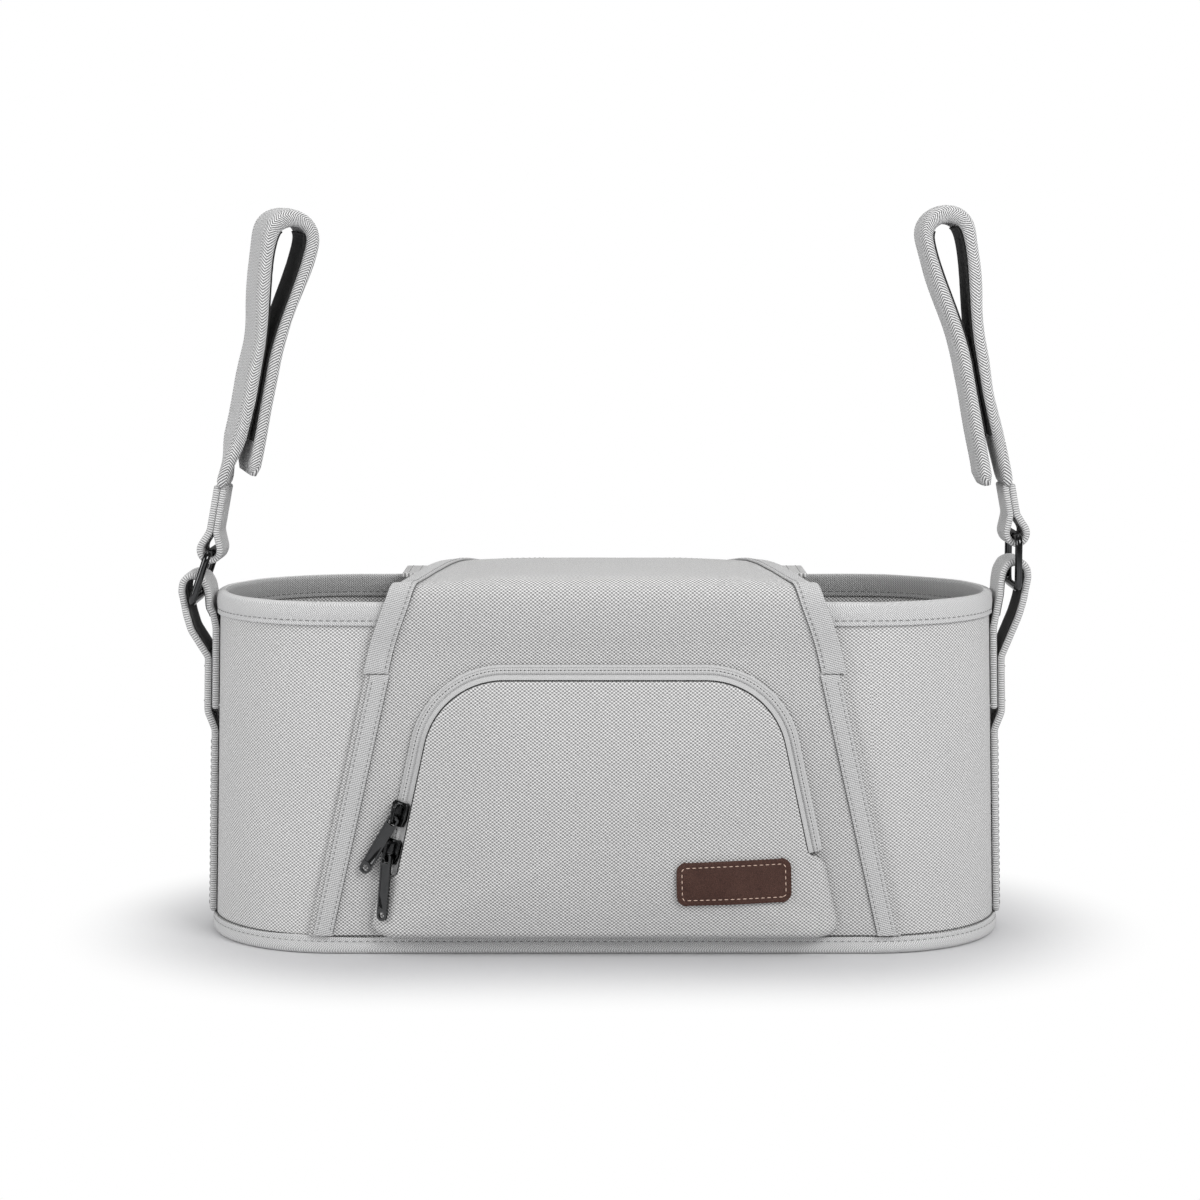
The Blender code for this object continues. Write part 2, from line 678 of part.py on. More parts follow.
def pocket_rings():
    """The three edge rings of the pocket's face, from the seam to the edge of its dome."""
    low = POCKET_FOOT_Z + 0.004
    left = [lerp(low, ZIP_LEFT_Z - 0.0035, t) for t in (0, 0.5, 1)] + [ZIP_LEFT_Z - 0.0005]
    left += [lerp(ZIP_LEFT_Z, SIDE_TOP_Z, t) for t in (0.33, 0.66)]
    right = [lerp(SIDE_TOP_Z, ZIP_RIGHT_Z, t) for t in (0.34, 0.67)] + [ZIP_RIGHT_Z - 0.0005]
    right += [lerp(ZIP_RIGHT_Z - 0.0035, low, t) for t in (0, 0.5, 1)]
    stations = pocket_stations(left, right)
    shares = [0.97, 0.80, 0.6, 0.4, 0.2, 0.0, -0.2, -0.4, -0.6, -0.80, -0.97]
    rings = []
    for level in range(3):
        ring = []
        for station in stations:
            zip_end = ZIP_LEFT_Z if station[0].x < 0 else ZIP_RIGHT_Z
            at_zip = ease((station[0].y - zip_end + 0.0035) / 0.003)
            s = lerp(SIDE_RINGS_BELOW_ZIP[level][0], SIDE_RINGS_AT_ZIP[level][0], at_zip)
            b = lerp(SIDE_RINGS_BELOW_ZIP[level][1], SIDE_RINGS_AT_ZIP[level][1], at_zip)
            ring.append(pocket_point(station, *band_offset(s, b)))
        rise, out = BOTTOM_RINGS[level]
        half = POCKET_BASE_HALF_WIDTH - band_offset(*SIDE_RINGS_BELOW_ZIP[level])[0]
        for share in shares:
            corner = abs(share) ** 6 if level == 2 else 0.0
            depth = lerp(out, BOTTOM_CORNER_OUT, corner)
            ring.append(Vector((half * share, FRONT_FACE_Y - depth, POCKET_FOOT_Z + rise)))
        rings.append(ring)
    return rings


DOME_EDGE = pocket_rings()[-1]
DOME_CENTRE = Vector((0.0, POCKET_CROWN_Z))


def dome_out(edge_out, share):
    """How far out the dome stands, from its edge at share 1 to its crown at share 0."""
    return edge_out + (POCKET_DEPTH - edge_out) * (1 - share * share)


def dome_point(edge, share):
    """A point of the pocket's dome on the way from its crown to a point of its edge."""
    x = lerp(DOME_CENTRE.x, edge.x, share)
    z = lerp(DOME_CENTRE.y, edge.z, share)
    return Vector((x, FRONT_FACE_Y - dome_out(FRONT_FACE_Y - edge.y, share), z))


def dome_surface(x, z):
    """The dome's middle surface in front of any place inside its edge."""
    ray = Vector((x, z)) - DOME_CENTRE
    for start, end in zip(DOME_EDGE, DOME_EDGE[1:] + DOME_EDGE[:1]):
        first = Vector((start.x, start.z)) - DOME_CENTRE
        last = Vector((end.x, end.z)) - DOME_CENTRE
        turn = first.cross(last)
        from_first = first.cross(ray) / turn
        from_last = ray.cross(last) / turn
        if from_first >= 0 and from_last >= 0:
            share = from_first + from_last
            edge_y = lerp(start.y, end.y, from_first / share)
            return FRONT_FACE_Y - dome_out(FRONT_FACE_Y - edge_y, share)
    return FRONT_FACE_Y - POCKET_DEPTH


def make_pocket_face():
    """The pocket's bulging front: its turned-in edge, its flank and a shallow dome."""
    rings = pocket_rings()
    for share in DOME_SHARES:
        rings.append([dome_point(edge, share) for edge in DOME_EDGE])
    crown = Vector((0.0, FRONT_FACE_Y - POCKET_DEPTH, POCKET_CROWN_Z))
    rings.append([crown] * len(DOME_EDGE))
    add_sheet("pocket_face", rings, POCKET_FACE_T, CLOTH, closed=True)


def make_patch():
    """A leather patch with rounded corners that lies on the dome."""
    outline = rounded_rectangle(PATCH_LENGTH / 2, PATCH_HEIGHT / 2, PATCH_CORNER, 3, side_steps=5)
    lift = POCKET_FACE_T / 2 + GAP + PATCH_T / 2
    turn = Matrix.Rotation(PATCH_TURN, 2)
    rings = []
    for share in (1.0, 0.8, 0.45, 0.0):
        ring = []
        for corner in outline:
            place = turn @ (Vector(corner) * share) + Vector((PATCH_X, PATCH_Z))
            ring.append(Vector((place.x, dome_surface(*place) - lift, place.y)))
        rings.append(ring)
    add_sheet("leather_patch", rings, PATCH_T, LEATHER, closed=True)


# Sliders and pulls


ALONG_ZIP = Vector((SIDE_NORMAL.y, 0.0, SIDE_NORMAL.x))
INTO_POCKET = Vector((SIDE_NORMAL.x, 0.0, -SIDE_NORMAL.y))
TO_VIEWER = Vector((0.0, -1.0, 0.0))
ACROSS_BAND = math.cos(ZIP_LEAN) * INTO_POCKET + math.sin(ZIP_LEAN) * TO_VIEWER
OUT_OF_BAND = math.cos(ZIP_LEAN) * TO_VIEWER - math.sin(ZIP_LEAN) * INTO_POCKET


def frame_matrix(x_axis, y_axis, z_axis, place):
    """The matrix of a part with these axes at this place."""
    matrix = Matrix((x_axis, y_axis, z_axis)).transposed().to_4x4()
    matrix.translation = place
    return matrix


def hinge_place(z):
    """Where a crossbar sits in its bail, at this height on the left side of the zipper."""
    station = side_station(-1, z)
    place = pocket_point(station, *band_offset(BAND_CENTRE, CROSSBAR_B))
    return place + ALONG_ZIP * ((z - place.z) / ALONG_ZIP.z)


def slider_profile():
    """The slider across the zipper: a plate with a flange turned down at each side."""
    half = SLIDER_WIDTH / 2
    inner = half - SLIDER_FLANGE_T
    top = SLIDER_B + SLIDER_T
    foot = ZIP_TAPE_T / 2 + GAP
    return [(-half, foot), (-inner, foot), (-inner, SLIDER_B), (inner, SLIDER_B),
            (inner, foot), (half, foot), (half, top), (-half, top)]


def slider_plan():
    """The slider from the front: broad shoulders at the top and a narrower tail."""
    half = SLIDER_WIDTH / 2 + GAP
    tail = SLIDER_WAIST
    end = SLIDER_LENGTH / 2
    bevel = SLIDER_BEVEL
    return [(-tail, -end), (tail, -end), (half, -0.1 * end), (half, end - bevel),
            (half - bevel, end), (bevel - half, end), (-half, end - bevel), (-half, -0.1 * end)]


def bail_outlines():
    """The bridge over the slider, seen from its side, with the opening for the pull."""
    top = SLIDER_B + SLIDER_T + BAIL_INNER_RISE
    half = BAIL_INNER_LENGTH / 2
    foot = SLIDER_B + SLIDER_T / 2
    outer, inner = [], []
    for turn in (0, 30, 60, 90, 120, 150, 180):
        angle = math.radians(turn)
        radius = BAIL_RADIUS
        side = 1 if turn < 90 else -1
        if turn == 90:
            continue
        centre_x = side * (half - radius)
        x = centre_x + radius * math.cos(angle)
        inner.append((x, top - radius + radius * math.sin(angle)))
        reach = radius + BAIL_WIRE
        outer.append((centre_x + reach * math.cos(angle), top - radius + reach * math.sin(angle)))
    inner += [(-half, foot + BAIL_LAP), (half, foot + BAIL_LAP)]
    outer += [(-half - BAIL_WIRE, foot), (half + BAIL_WIRE, foot)]
    return [outer, inner]


def make_slider(name, place):
    """A slider: profile run along the zipper, trimmed to its plan, with a bail on top."""
    matrix = frame_matrix(ACROSS_BAND, ALONG_ZIP, OUT_OF_BAND, place)
    upright = Matrix.Rotation(math.radians(90), 4, "X")
    sideways = Matrix.Rotation(math.radians(90), 4, "Z") @ upright
    profile = plate_mesh([slider_profile()], SLIDER_LENGTH)
    bmesh.ops.transform(profile, matrix=upright, verts=profile.verts)
    slider = add_object(name, profile, GUNMETAL)
    slider.matrix_world = matrix
    plan = plate_mesh([slider_plan()], 4 * SLIDER_B)
    combine(slider, "INTERSECT", add_helper(name + "_plan", plan, matrix))
    bail = plate_mesh(bail_outlines(), BAIL_WIRE)
    bmesh.ops.transform(bail, matrix=sideways, verts=bail.verts)
    combine(slider, "UNION", add_helper(name + "_bail", bail, matrix))


def pull_outlines():
    """The pull tab from the front: crossbar at the origin, tab and eye below it."""
    half = PULL_WIDTH / 2
    top = PULL_CROSSBAR / 2
    round_end = [(half * math.cos(math.radians(t)), half * math.sin(math.radians(t)))
                 for t in range(180, 361, 20)]
    eye_y = half - PULL_LENGTH
    outer = [(x, y + eye_y) for x, y in round_end]
    cut = PULL_CHAMFER
    outer += [(half, top - cut), (half - cut, top), (cut - half, top), (-half, top - cut)]
    slot_half = PULL_SLOT_HALF_WIDTH
    slot = [(-slot_half, -top), (slot_half, -top), (slot_half, -PULL_SLOT_END),
            (-slot_half, -PULL_SLOT_END)]
    eye = [(PULL_EYE_RADIUS * math.cos(math.radians(t)),
            eye_y + PULL_EYE_RADIUS * math.sin(math.radians(t))) for t in range(0, 360, 24)]
    return [outer, slot, eye]


def make_pull(name, place, direction, normal):
    """A flat pull tab that hangs from its crossbar, with a shallow recess in its face."""
    across = normal.cross(direction).normalized()
    matrix = frame_matrix(across, -direction, normal, place)
    pull = add_plate(name, pull_outlines(), PULL_T, GUNMETAL, matrix)
    recess_length = PULL_LENGTH - PULL_WIDTH - PULL_SLOT_END - PULL_RECESS_END
    middle = -(PULL_SLOT_END + PULL_RECESS_START + recess_length / 2)
    bm = bmesh.new()
    bmesh.ops.create_cube(bm, size=1.0)
    shape = Matrix.Diagonal((PULL_WIDTH - 2 * PULL_FRAME, recess_length, 2 * PULL_RECESS, 1.0))
    bmesh.ops.transform(bm, matrix=shape, verts=bm.verts)
    recess_place = matrix @ Matrix.Translation((0.0, middle, PULL_T / 2))
    combine(pull, "DIFFERENCE", add_helper(name + "_recess", bm, recess_place))


def make_sliders_and_pulls():
    """Two sliders on the left side of the arch, each with a pull."""
    upper = hinge_place(UPPER_HINGE_Z)
    lower = upper - ALONG_ZIP * HINGE_SPACING
    to_band = OUT_OF_BAND * -CROSSBAR_B + ALONG_ZIP * CROSSBAR_BELOW_CENTRE
    make_slider("upper_slider", upper + to_band)
    make_slider("lower_slider", lower + to_band)
    between = (OUT_OF_BAND + TO_VIEWER).normalized()
    upper_normal = between - UPPER_PULL_DIRECTION * between.dot(UPPER_PULL_DIRECTION)
    make_pull("upper_pull", upper, UPPER_PULL_DIRECTION, upper_normal.normalized())
    level = -math.cos(LOWER_PULL_YAW) * ALONG_ZIP + math.sin(LOWER_PULL_YAW) * ACROSS_BAND
    lower_direction = (level - OUT_OF_BAND * LOWER_PULL_DIP).normalized()
    lower_normal = OUT_OF_BAND - lower_direction * OUT_OF_BAND.dot(lower_direction)
    make_pull("lower_pull", lower, lower_direction, lower_normal.normalized())


# Webbing, rings and straps


RING_BAR_X = RIM_HALF_LENGTH + WEBBING_OUTWARD
LOOP_RADIUS = RING_WIRE_RADIUS + GAP + WEBBING_T / 2


def on_end(side, z, out, y, curved=1.0):
    """A point out from the tub's round end; curved 0 leaves it flat across."""
    radius = HALF_DEPTH + out
    reach = lerp(radius, math.sqrt(radius * radius - y * y), curved)
    return Vector((side * (half_length(z) - HALF_DEPTH + reach), y, z))


def make_end_webbing(name, side, bar_z):
    """Webbing sewn up the end, looped loosely round the ring and tucked in under itself."""
    columns = [lerp(-WEBBING_WIDTH / 2, WEBBING_WIDTH / 2, i / 4) for i in range(5)]
    under = GAP + WEBBING_T / 2
    over_rim = under + BINDING_T + GAP + RIM_EASE
    double = under + WEBBING_T + GAP
    foot = HEM_BAND + WEBBING_FOOT_CLEARANCE
    outer = ((foot, under), (WEBBING_TAIL_Z - WEBBING_JOG, under),
             (WEBBING_TAIL_Z - 2 * GAP, double), (WEBBING_KINK_Z, double))
    rows = [[on_end(side, z, out, y) for y in columns] for z, out in outer]
    for out, up in WEBBING_LOOP:
        rows.append([Vector((side * (RING_BAR_X + out), y, bar_z + up)) for y in columns])
    inner = ((RIM_Z - RIM_BAND, over_rim), (RIM_Z - 1.8 * RIM_BAND, under),
             (WEBBING_TAIL_Z + 2 * GAP, under))
    rows += [[on_end(side, z, out, y) for y in columns] for z, out in inner]
    add_sheet(name, rows, WEBBING_T, TAPE)


def make_ring(name, side, tilt, bar_z):
    """A wire ring whose lower bar lies in the webbing's loop, on the joint's axis."""
    curve = bpy.data.curves.new(name, "CURVE")
    curve.dimensions = "3D"
    curve.bevel_depth = RING_WIRE_RADIUS
    curve.bevel_resolution = 2
    half = WEBBING_WIDTH / 2 + RING_SIDE_CLEARANCE
    outline = rounded_rectangle(half, RING_HEIGHT / 2, RING_CORNER, 4)
    spline = curve.splines.new("POLY")
    spline.points.add(len(outline) - 1)
    spline.use_cyclic_u = True
    for point, (y, z) in zip(spline.points, outline):
        point.co = (0.0, y, z + RING_HEIGHT / 2, 1.0)
    curve.materials.append(finish_material(name, GUNMETAL))
    ring = bpy.data.objects.new(name, curve)
    ring.location = (side * RING_BAR_X, 0.0, bar_z)
    ring.rotation_euler = (0.0, -side * tilt, 0.0)
    PARTS.objects.link(ring)
    top = Vector((-side * RING_HEIGHT * math.sin(tilt), 0.0, RING_HEIGHT * math.cos(tilt)))
    return ring.location + top


def make_link(name, side, parent, length):
    """The short loop of webbing between a ring's top bar and the foot of the strap."""
    legs = WEBBING_T / 2 + GAP / 2
    foot = length - GAP
    path = [(legs, foot), (legs, 0.010), (LOOP_RADIUS - 0.0002, 0.0035)]
    for step in range(9):
        angle = -math.radians(180) * step / 8
        path.append((LOOP_RADIUS * math.cos(angle), LOOP_RADIUS * math.sin(angle)))
    path += [(0.0002 - LOOP_RADIUS, 0.0035), (-legs, 0.010), (-legs, foot)]
    columns = (-LINK_WIDTH / 2, 0.0, LINK_WIDTH / 2)
    rows = [[Vector((side * x, y, z)) for y in columns] for x, z in path]
    add_sheet(name, rows, WEBBING_T, TAPE, parent=parent)


def strap_centre(z):
    """The line midway between the strap's two branches."""
    return along(((0.0, STRAP_CLOSED_X), (STRAP_CLOSED_Z, STRAP_CLOSED_X),
                  (STRAP_BEND_Z, STRAP_BEND_X)), z)


def strap_half_gap(z):
    """Half the distance between the branches: closed below, an eye above."""
    opening = ease((z - STRAP_CLOSED_Z) / (STRAP_BEND_Z - STRAP_CLOSED_Z))
    return lerp(STRAP_CLOSED_HALF_GAP, STRAP_EYE_RADIUS, opening)


def strap_line(tail_z):
    """The strap's middle line from its foot up the outer branch and down to its tail."""
    first, last = HOOK_TAPE_Z
    opening = [lerp(STRAP_CLOSED_Z, last, t) for t in (0.25, 0.5, 0.75)]
    closed_outer = strap_centre(STRAP_CLOSED_Z) - STRAP_CLOSED_HALF_GAP
    outer_knots = ((0.0, 0.0), (0.020, 0.5 * closed_outer), (0.042, closed_outer),
                   (STRAP_CLOSED_Z, closed_outer))
    line = [(along(outer_knots, z), z) for z in (0.0, 0.012, first, 0.042)]
    for z in [STRAP_CLOSED_Z] + opening + [last]:
        line.append((strap_centre(z) - strap_half_gap(z), z))
    for step in range(9):
        angle = math.pi * (1 - step / 8)
        x = STRAP_BEND_X + STRAP_EYE_RADIUS * math.cos(angle)
        line.append((x, STRAP_BEND_Z + STRAP_EYE_RADIUS * math.sin(angle)))
    for z in [last] + opening[::-1] + [STRAP_CLOSED_Z]:
        line.append((strap_centre(z) + strap_half_gap(z), z))
    closed_inner = strap_centre(STRAP_CLOSED_Z) + STRAP_CLOSED_HALF_GAP
    for z in (0.042, first, tail_z):
        share = (STRAP_CLOSED_Z - z) / (STRAP_CLOSED_Z - tail_z)
        line.append((lerp(closed_inner, STRAP_TAIL_X, share), z))
    return line


def line_normals(line):
    """The direction at each point of the strap's line that faces the inside of its loop."""
    normals = []
    for i in range(len(line)):
        start = Vector(line[max(i - 1, 0)])
        end = Vector(line[min(i + 1, len(line) - 1)])
        run = (end - start).normalized()
        normals.append(Vector((run.y, -run.x)))
    return normals


def strap_point(side, turn, foot, across, up, y):
    """A place in the strap's frame, with the strap turned this far about its height."""
    middle = Vector((STRAP_CLOSED_X, 0.0))
    place = Matrix.Rotation(turn, 2) @ (Vector((across, y)) - middle) + middle
    return Vector((-side * place.x, place.y, foot + up))


def make_strap(prefix, side, pivot, twist, foot, tail_z):
    """The padded strap, twisted in its foot and bent into an eye, and its two tapes."""
    line = strap_line(tail_z)
    normals = line_normals(line)
    section = ((-1.0, 0.45), (-0.94, 1.0), (0.94, 1.0), (1.0, 0.45),
               (1.0, -0.45), (0.94, -1.0), (-0.94, -1.0), (-1.0, -0.45))
    foot_width = LINK_WIDTH / STRAP_WIDTH
    first, last = HOOK_TAPE_Z
    middle = len(line) // 2
    sections = []
    for index, ((across, up), normal) in enumerate(zip(line, normals)):
        width = along(((0, foot_width), (2, 0.9), (3, 1.0), (len(line), 1.0)), index)
        turn = twist * ease(up / first) if index < middle else twist
        ring = []
        for u, v in section:
            place = Vector((across, up)) + normal * (v * STRAP_T / 2)
            y = u * width * STRAP_WIDTH / 2
            ring.append(strap_point(side, turn, foot, place.x, place.y, y))
        sections.append(ring)
    add_sweep(prefix + "_strap", sections, CLOTH, pivot)
    lift = STRAP_T / 2 + GAP + HOOK_TAPE_T / 2
    for name, start, end in (("_loop_tape", 0, middle), ("_hook_tape", middle, len(line))):
        rows = []
        for (across, up), normal in list(zip(line, normals))[start:end]:
            if first - MERGE <= up <= last + MERGE:
                place = Vector((across, up)) + normal * lift
                rows.append([strap_point(side, twist, foot, place.x, place.y, y)
                             for y in (-HOOK_TAPE_WIDTH / 2, 0.0, HOOK_TAPE_WIDTH / 2)])
        add_sheet(prefix + name, rows, HOOK_TAPE_T, HOOK, parent=pivot)


def make_end(prefix, side, bar_z, ring_tilt, link_length, twist, tail_z):
    """Everything that hangs one end of the bag from the handlebar."""
    make_end_webbing(prefix + "_end_webbing", side, bar_z)
    top = make_ring(prefix + "_ring", side, ring_tilt, bar_z)
    pivot = add_pivot(prefix + "_strap_pivot", top, -side * STRAP_LEAN)
    make_link(prefix + "_link", side, pivot, link_length)
    make_strap(prefix, side, pivot, twist, link_length, tail_z)


make_tub()
make_divider("left_divider", -1)
make_divider("right_divider", 1)
make_liner("left_cup_liner", -1)
make_liner("right_cup_liner", 1)
make_centre_panel()
make_edge_tapes("left", -1)
make_edge_tapes("right", 1)
make_rear_flap()
make_zipper()
make_pocket_face()
make_patch()
make_sliders_and_pulls()
make_end("left", -1, LEFT_RING_BAR_Z, LEFT_RING_TILT, LEFT_LINK_LENGTH, LEFT_STRAP_TWIST,
         LEFT_STRAP_TAIL_Z)
make_end("right", 1, RIGHT_RING_BAR_Z, RIGHT_RING_TILT, RIGHT_LINK_LENGTH, RIGHT_STRAP_TWIST,
         RIGHT_STRAP_TAIL_Z)
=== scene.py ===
# %% [markdown]
# # A stroller organizer
# This caddy is a soft tub of grey woven cloth. A tapering panel comes up its front and closes
# over the top as a flap, and carries a zip pocket. Webbing, rings and padded straps hang it
# from a handlebar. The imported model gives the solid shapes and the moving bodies, and this
# lesson dresses them: each cell remakes one piece as cloth, tape, thread, leather or metal.

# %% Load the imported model
import math

import bmesh
import bpy
from mathutils import Matrix, Vector, noise


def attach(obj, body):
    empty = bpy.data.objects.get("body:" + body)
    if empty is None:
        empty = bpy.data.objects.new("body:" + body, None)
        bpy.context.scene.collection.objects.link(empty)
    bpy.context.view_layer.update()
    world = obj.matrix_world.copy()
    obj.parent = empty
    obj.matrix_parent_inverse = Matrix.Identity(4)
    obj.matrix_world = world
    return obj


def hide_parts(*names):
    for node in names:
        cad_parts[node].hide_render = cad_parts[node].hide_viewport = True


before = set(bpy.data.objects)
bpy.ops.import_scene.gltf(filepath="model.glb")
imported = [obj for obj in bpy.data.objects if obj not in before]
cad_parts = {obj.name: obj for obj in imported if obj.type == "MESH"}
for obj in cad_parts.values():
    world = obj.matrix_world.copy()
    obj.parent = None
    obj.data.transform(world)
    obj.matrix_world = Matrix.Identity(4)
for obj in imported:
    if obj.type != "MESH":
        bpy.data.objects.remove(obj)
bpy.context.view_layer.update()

# %% [markdown]
# ## Camera and light
# A long lens from a little above the bag gives the flat, calm view of a catalogue picture.
# The camera comes first, so every later piece can be judged through it. Big soft lamps and
# a pale world light the cloth at about the level at which a colour renders as written.

# %% Camera
LENS_MM = 85.57
SENSOR_MM = 36.0
CAMERA_PITCH = math.radians(6.514)
CAMERA_PLACE = (-0.00216, -1.3025, 0.30015)
camera_data = bpy.data.cameras.new("camera")
camera_data.sensor_width = SENSOR_MM
camera_data.lens = LENS_MM
camera = bpy.data.objects.new("camera", camera_data)
camera.location = CAMERA_PLACE
camera.rotation_euler = (math.radians(90) - CAMERA_PITCH, 0.0, 0.0)
bpy.context.scene.collection.objects.link(camera)
bpy.context.scene.camera = camera
bpy.context.scene.view_settings.view_transform = "Standard"
print("lens", LENS_MM, "mm")

# %% Lamps and world
BAG_MIDDLE = Vector((0.0, 0.0, 0.12))


def soft_lamp(name, place, size, watts):
    """A square lamp that faces the middle of the bag."""
    data = bpy.data.lights.new(name, "AREA")
    data.size = size
    data.energy = watts
    lamp = bpy.data.objects.new(name, data)
    lamp.location = place
    lamp.rotation_euler = (BAG_MIDDLE - Vector(place)).to_track_quat("-Z", "Y").to_euler()
    bpy.context.scene.collection.objects.link(lamp)


soft_lamp("key_lamp", (0.95, -1.15, 1.15), 0.8, 16.8)
soft_lamp("left_lamp", (-1.3, -0.7, 0.7), 0.9, 8.2)
soft_lamp("top_lamp", (0.0, 0.5, 1.7), 1.2, 7.0)

WORLD_LIGHT = 0.50
WORLD_IN_METAL = 0.12
world = bpy.data.worlds.new("studio")
world.use_nodes = True
bpy.context.scene.world = world
world_tree = world.node_tree
sky = world_tree.nodes["Background"]
sky.inputs["Color"].default_value = (1.0, 1.0, 1.0, 1.0)
rays = world_tree.nodes.new("ShaderNodeLightPath")
choice = None
for kind, level in (("Is Glossy Ray", WORLD_IN_METAL), ("Is Camera Ray", 1.0)):
    before = choice
    choice = world_tree.nodes.new("ShaderNodeMix")
    choice.inputs[2].default_value = WORLD_LIGHT
    choice.inputs[3].default_value = level
    world_tree.links.new(rays.outputs[kind], choice.inputs[0])
    if before:
        world_tree.links.new(before.outputs[0], choice.inputs[2])
world_tree.links.new(choice.outputs[0], sky.inputs["Strength"])
print("world light", WORLD_LIGHT)

# %% [markdown]
# ## Floor
# The bag stands on plain white card that fades to pure white with distance. The floor is a
# grid, and its material turns from matt paint near the bag to plain white further away, by
# the distance from the bag's oval foot. Only the eye sees that white, so the card still
# takes the bag's soft shadow.

# %% Floor
FOOT_STRAIGHT = 0.092
FOOT_RADIUS = 0.060
FLOOR_FADE = (0.018, 0.105)
floor_bm = bmesh.new()
bmesh.ops.create_grid(floor_bm, x_segments=8, y_segments=8, size=4.0)
floor_mesh = bpy.data.meshes.new("floor")
floor_bm.to_mesh(floor_mesh)
floor_bm.free()
floor = bpy.data.objects.new("floor", floor_mesh)
bpy.context.scene.collection.objects.link(floor)
card = bpy.data.materials.new("white_card")
card.use_nodes = True
card_tree = card.node_tree
card_shader = card_tree.nodes["Principled BSDF"]
card_shader.inputs["Base Color"].default_value = (0.64, 0.64, 0.65, 1.0)
card_shader.inputs["Roughness"].default_value = 0.85
card_shader.inputs["Specular IOR Level"].default_value = 0.2
place = card_tree.nodes.new("ShaderNodeTexCoord").outputs["Object"]
for operation, other in (("ABSOLUTE", None), ("SUBTRACT", (FOOT_STRAIGHT, 0.0, 0.0)),
                         ("MAXIMUM", (0.0, 0.0, 0.0)), ("LENGTH", None)):
    distance = card_tree.nodes.new("ShaderNodeVectorMath")
    distance.operation = operation
    card_tree.links.new(place, distance.inputs[0])
    if other:
        distance.inputs[1].default_value = other
    place = distance.outputs[0]
fade = card_tree.nodes.new("ShaderNodeMapRange")
fade.interpolation_type = "SMOOTHSTEP"
fade.inputs["From Min"].default_value = FOOT_RADIUS + FLOOR_FADE[0]
fade.inputs["From Max"].default_value = FOOT_RADIUS + FLOOR_FADE[1]
card_tree.links.new(distance.outputs["Value"], fade.inputs["Value"])
share = card_tree.nodes.new("ShaderNodeMath")
share.operation = "MULTIPLY"
card_tree.links.new(fade.outputs["Result"], share.inputs[0])
card_tree.links.new(card_tree.nodes.new("ShaderNodeLightPath").outputs["Is Camera Ray"],
                    share.inputs[1])
glow = card_tree.nodes.new("ShaderNodeEmission")
blend = card_tree.nodes.new("ShaderNodeMixShader")
card_tree.links.new(share.outputs[0], blend.inputs["Fac"])
card_tree.links.new(card_shader.outputs[0], blend.inputs[1])
card_tree.links.new(glow.outputs[0], blend.inputs[2])
card_tree.links.new(blend.outputs[0], card_tree.nodes["Material Output"].inputs["Surface"])
floor_mesh.materials.append(card)
print("floor fades from", FLOOR_FADE)

# %% [markdown]
# ## Finishes
# Cloth looks like cloth because of its threads. A picture of a weave would do, but it blurs
# up close and has seams, so the threads are worked out by maths from the piece's own UV map,
# which holds metres along and across the cloth. The same numbers darken the gaps between
# threads, partly the threads' own tones and partly painted shade, and lift the threads as
# bump, and broad noise keeps large areas from looking printed.

# %% A small workshop for materials


class Finish:
    """A Principled material fed by small maths nodes."""

    def __init__(self, name, **constants):
        self.material = bpy.data.materials.new(name)
        self.material.use_nodes = True
        self.tree = self.material.node_tree
        self.shader = self.tree.nodes["Principled BSDF"]
        for socket, value in constants.items():
            self.shader.inputs[socket.replace("_", " ")].default_value = value
        self.normal = None

    def node(self, kind, **settings):
        made = self.tree.nodes.new(kind)
        for setting, value in settings.items():
            setattr(made, setting, value)
        return made

    def feed(self, socket, value):
        if isinstance(value, bpy.types.NodeSocket):
            self.tree.links.new(value, socket)
        else:
            socket.default_value = value

    def sum(self, operation, first, second=0.0):
        made = self.node("ShaderNodeMath", operation=operation)
        self.feed(made.inputs[0], first)
        self.feed(made.inputs[1], second)
        return made.outputs[0]

    def spread(self, value, low, high, to_low=0.0, to_high=1.0):
        made = self.node("ShaderNodeMapRange")
        for socket, number in zip(made.inputs, (value, low, high, to_low, to_high)):
            self.feed(socket, number)
        return made.outputs[0]

    def mix(self, share, first, second):
        made = self.node("ShaderNodeMix", data_type="RGBA")
        self.feed(made.inputs[0], share)
        self.feed(made.inputs[6], first)
        self.feed(made.inputs[7], second)
        return made.outputs[2]

    def wave(self, value, pitch, wander=None):
        """A sine over a length in metres, shifted to and fro where it wanders."""
        turned = self.sum("MULTIPLY", value, 2 * math.pi / pitch)
        if wander is not None:
            turned = self.sum("ADD", turned, wander)
        return self.sum("SINE", turned)

    def paint(self, colour):
        self.feed(self.shader.inputs["Base Color"], colour)

    def noise(self, vector, scale, detail=2.0):
        made = self.node("ShaderNodeTexNoise")
        self.feed(made.inputs["Vector"], vector)
        made.inputs["Scale"].default_value = scale
        made.inputs["Detail"].default_value = detail
        return made.outputs["Fac"]

    def bump(self, height, distance, strength=1.0):
        made = self.node("ShaderNodeBump")
        made.inputs["Strength"].default_value = strength
        made.inputs["Distance"].default_value = distance
        self.feed(made.inputs["Height"], height)
        if self.normal is not None:
            self.tree.links.new(self.normal, made.inputs["Normal"])
        self.normal = made.outputs[0]
        self.tree.links.new(self.normal, self.shader.inputs["Normal"])

    def cloth_place(self):
        """The UV map in metres, and its two numbers on their own."""
        uv = self.node("ShaderNodeUVMap", uv_map="cloth").outputs[0]
        parts = self.node("ShaderNodeSeparateXYZ")
        self.tree.links.new(uv, parts.inputs[0])
        return uv, parts.outputs[0], parts.outputs[1]

    def own_place(self):
        return self.node("ShaderNodeTexCoord").outputs["Object"]


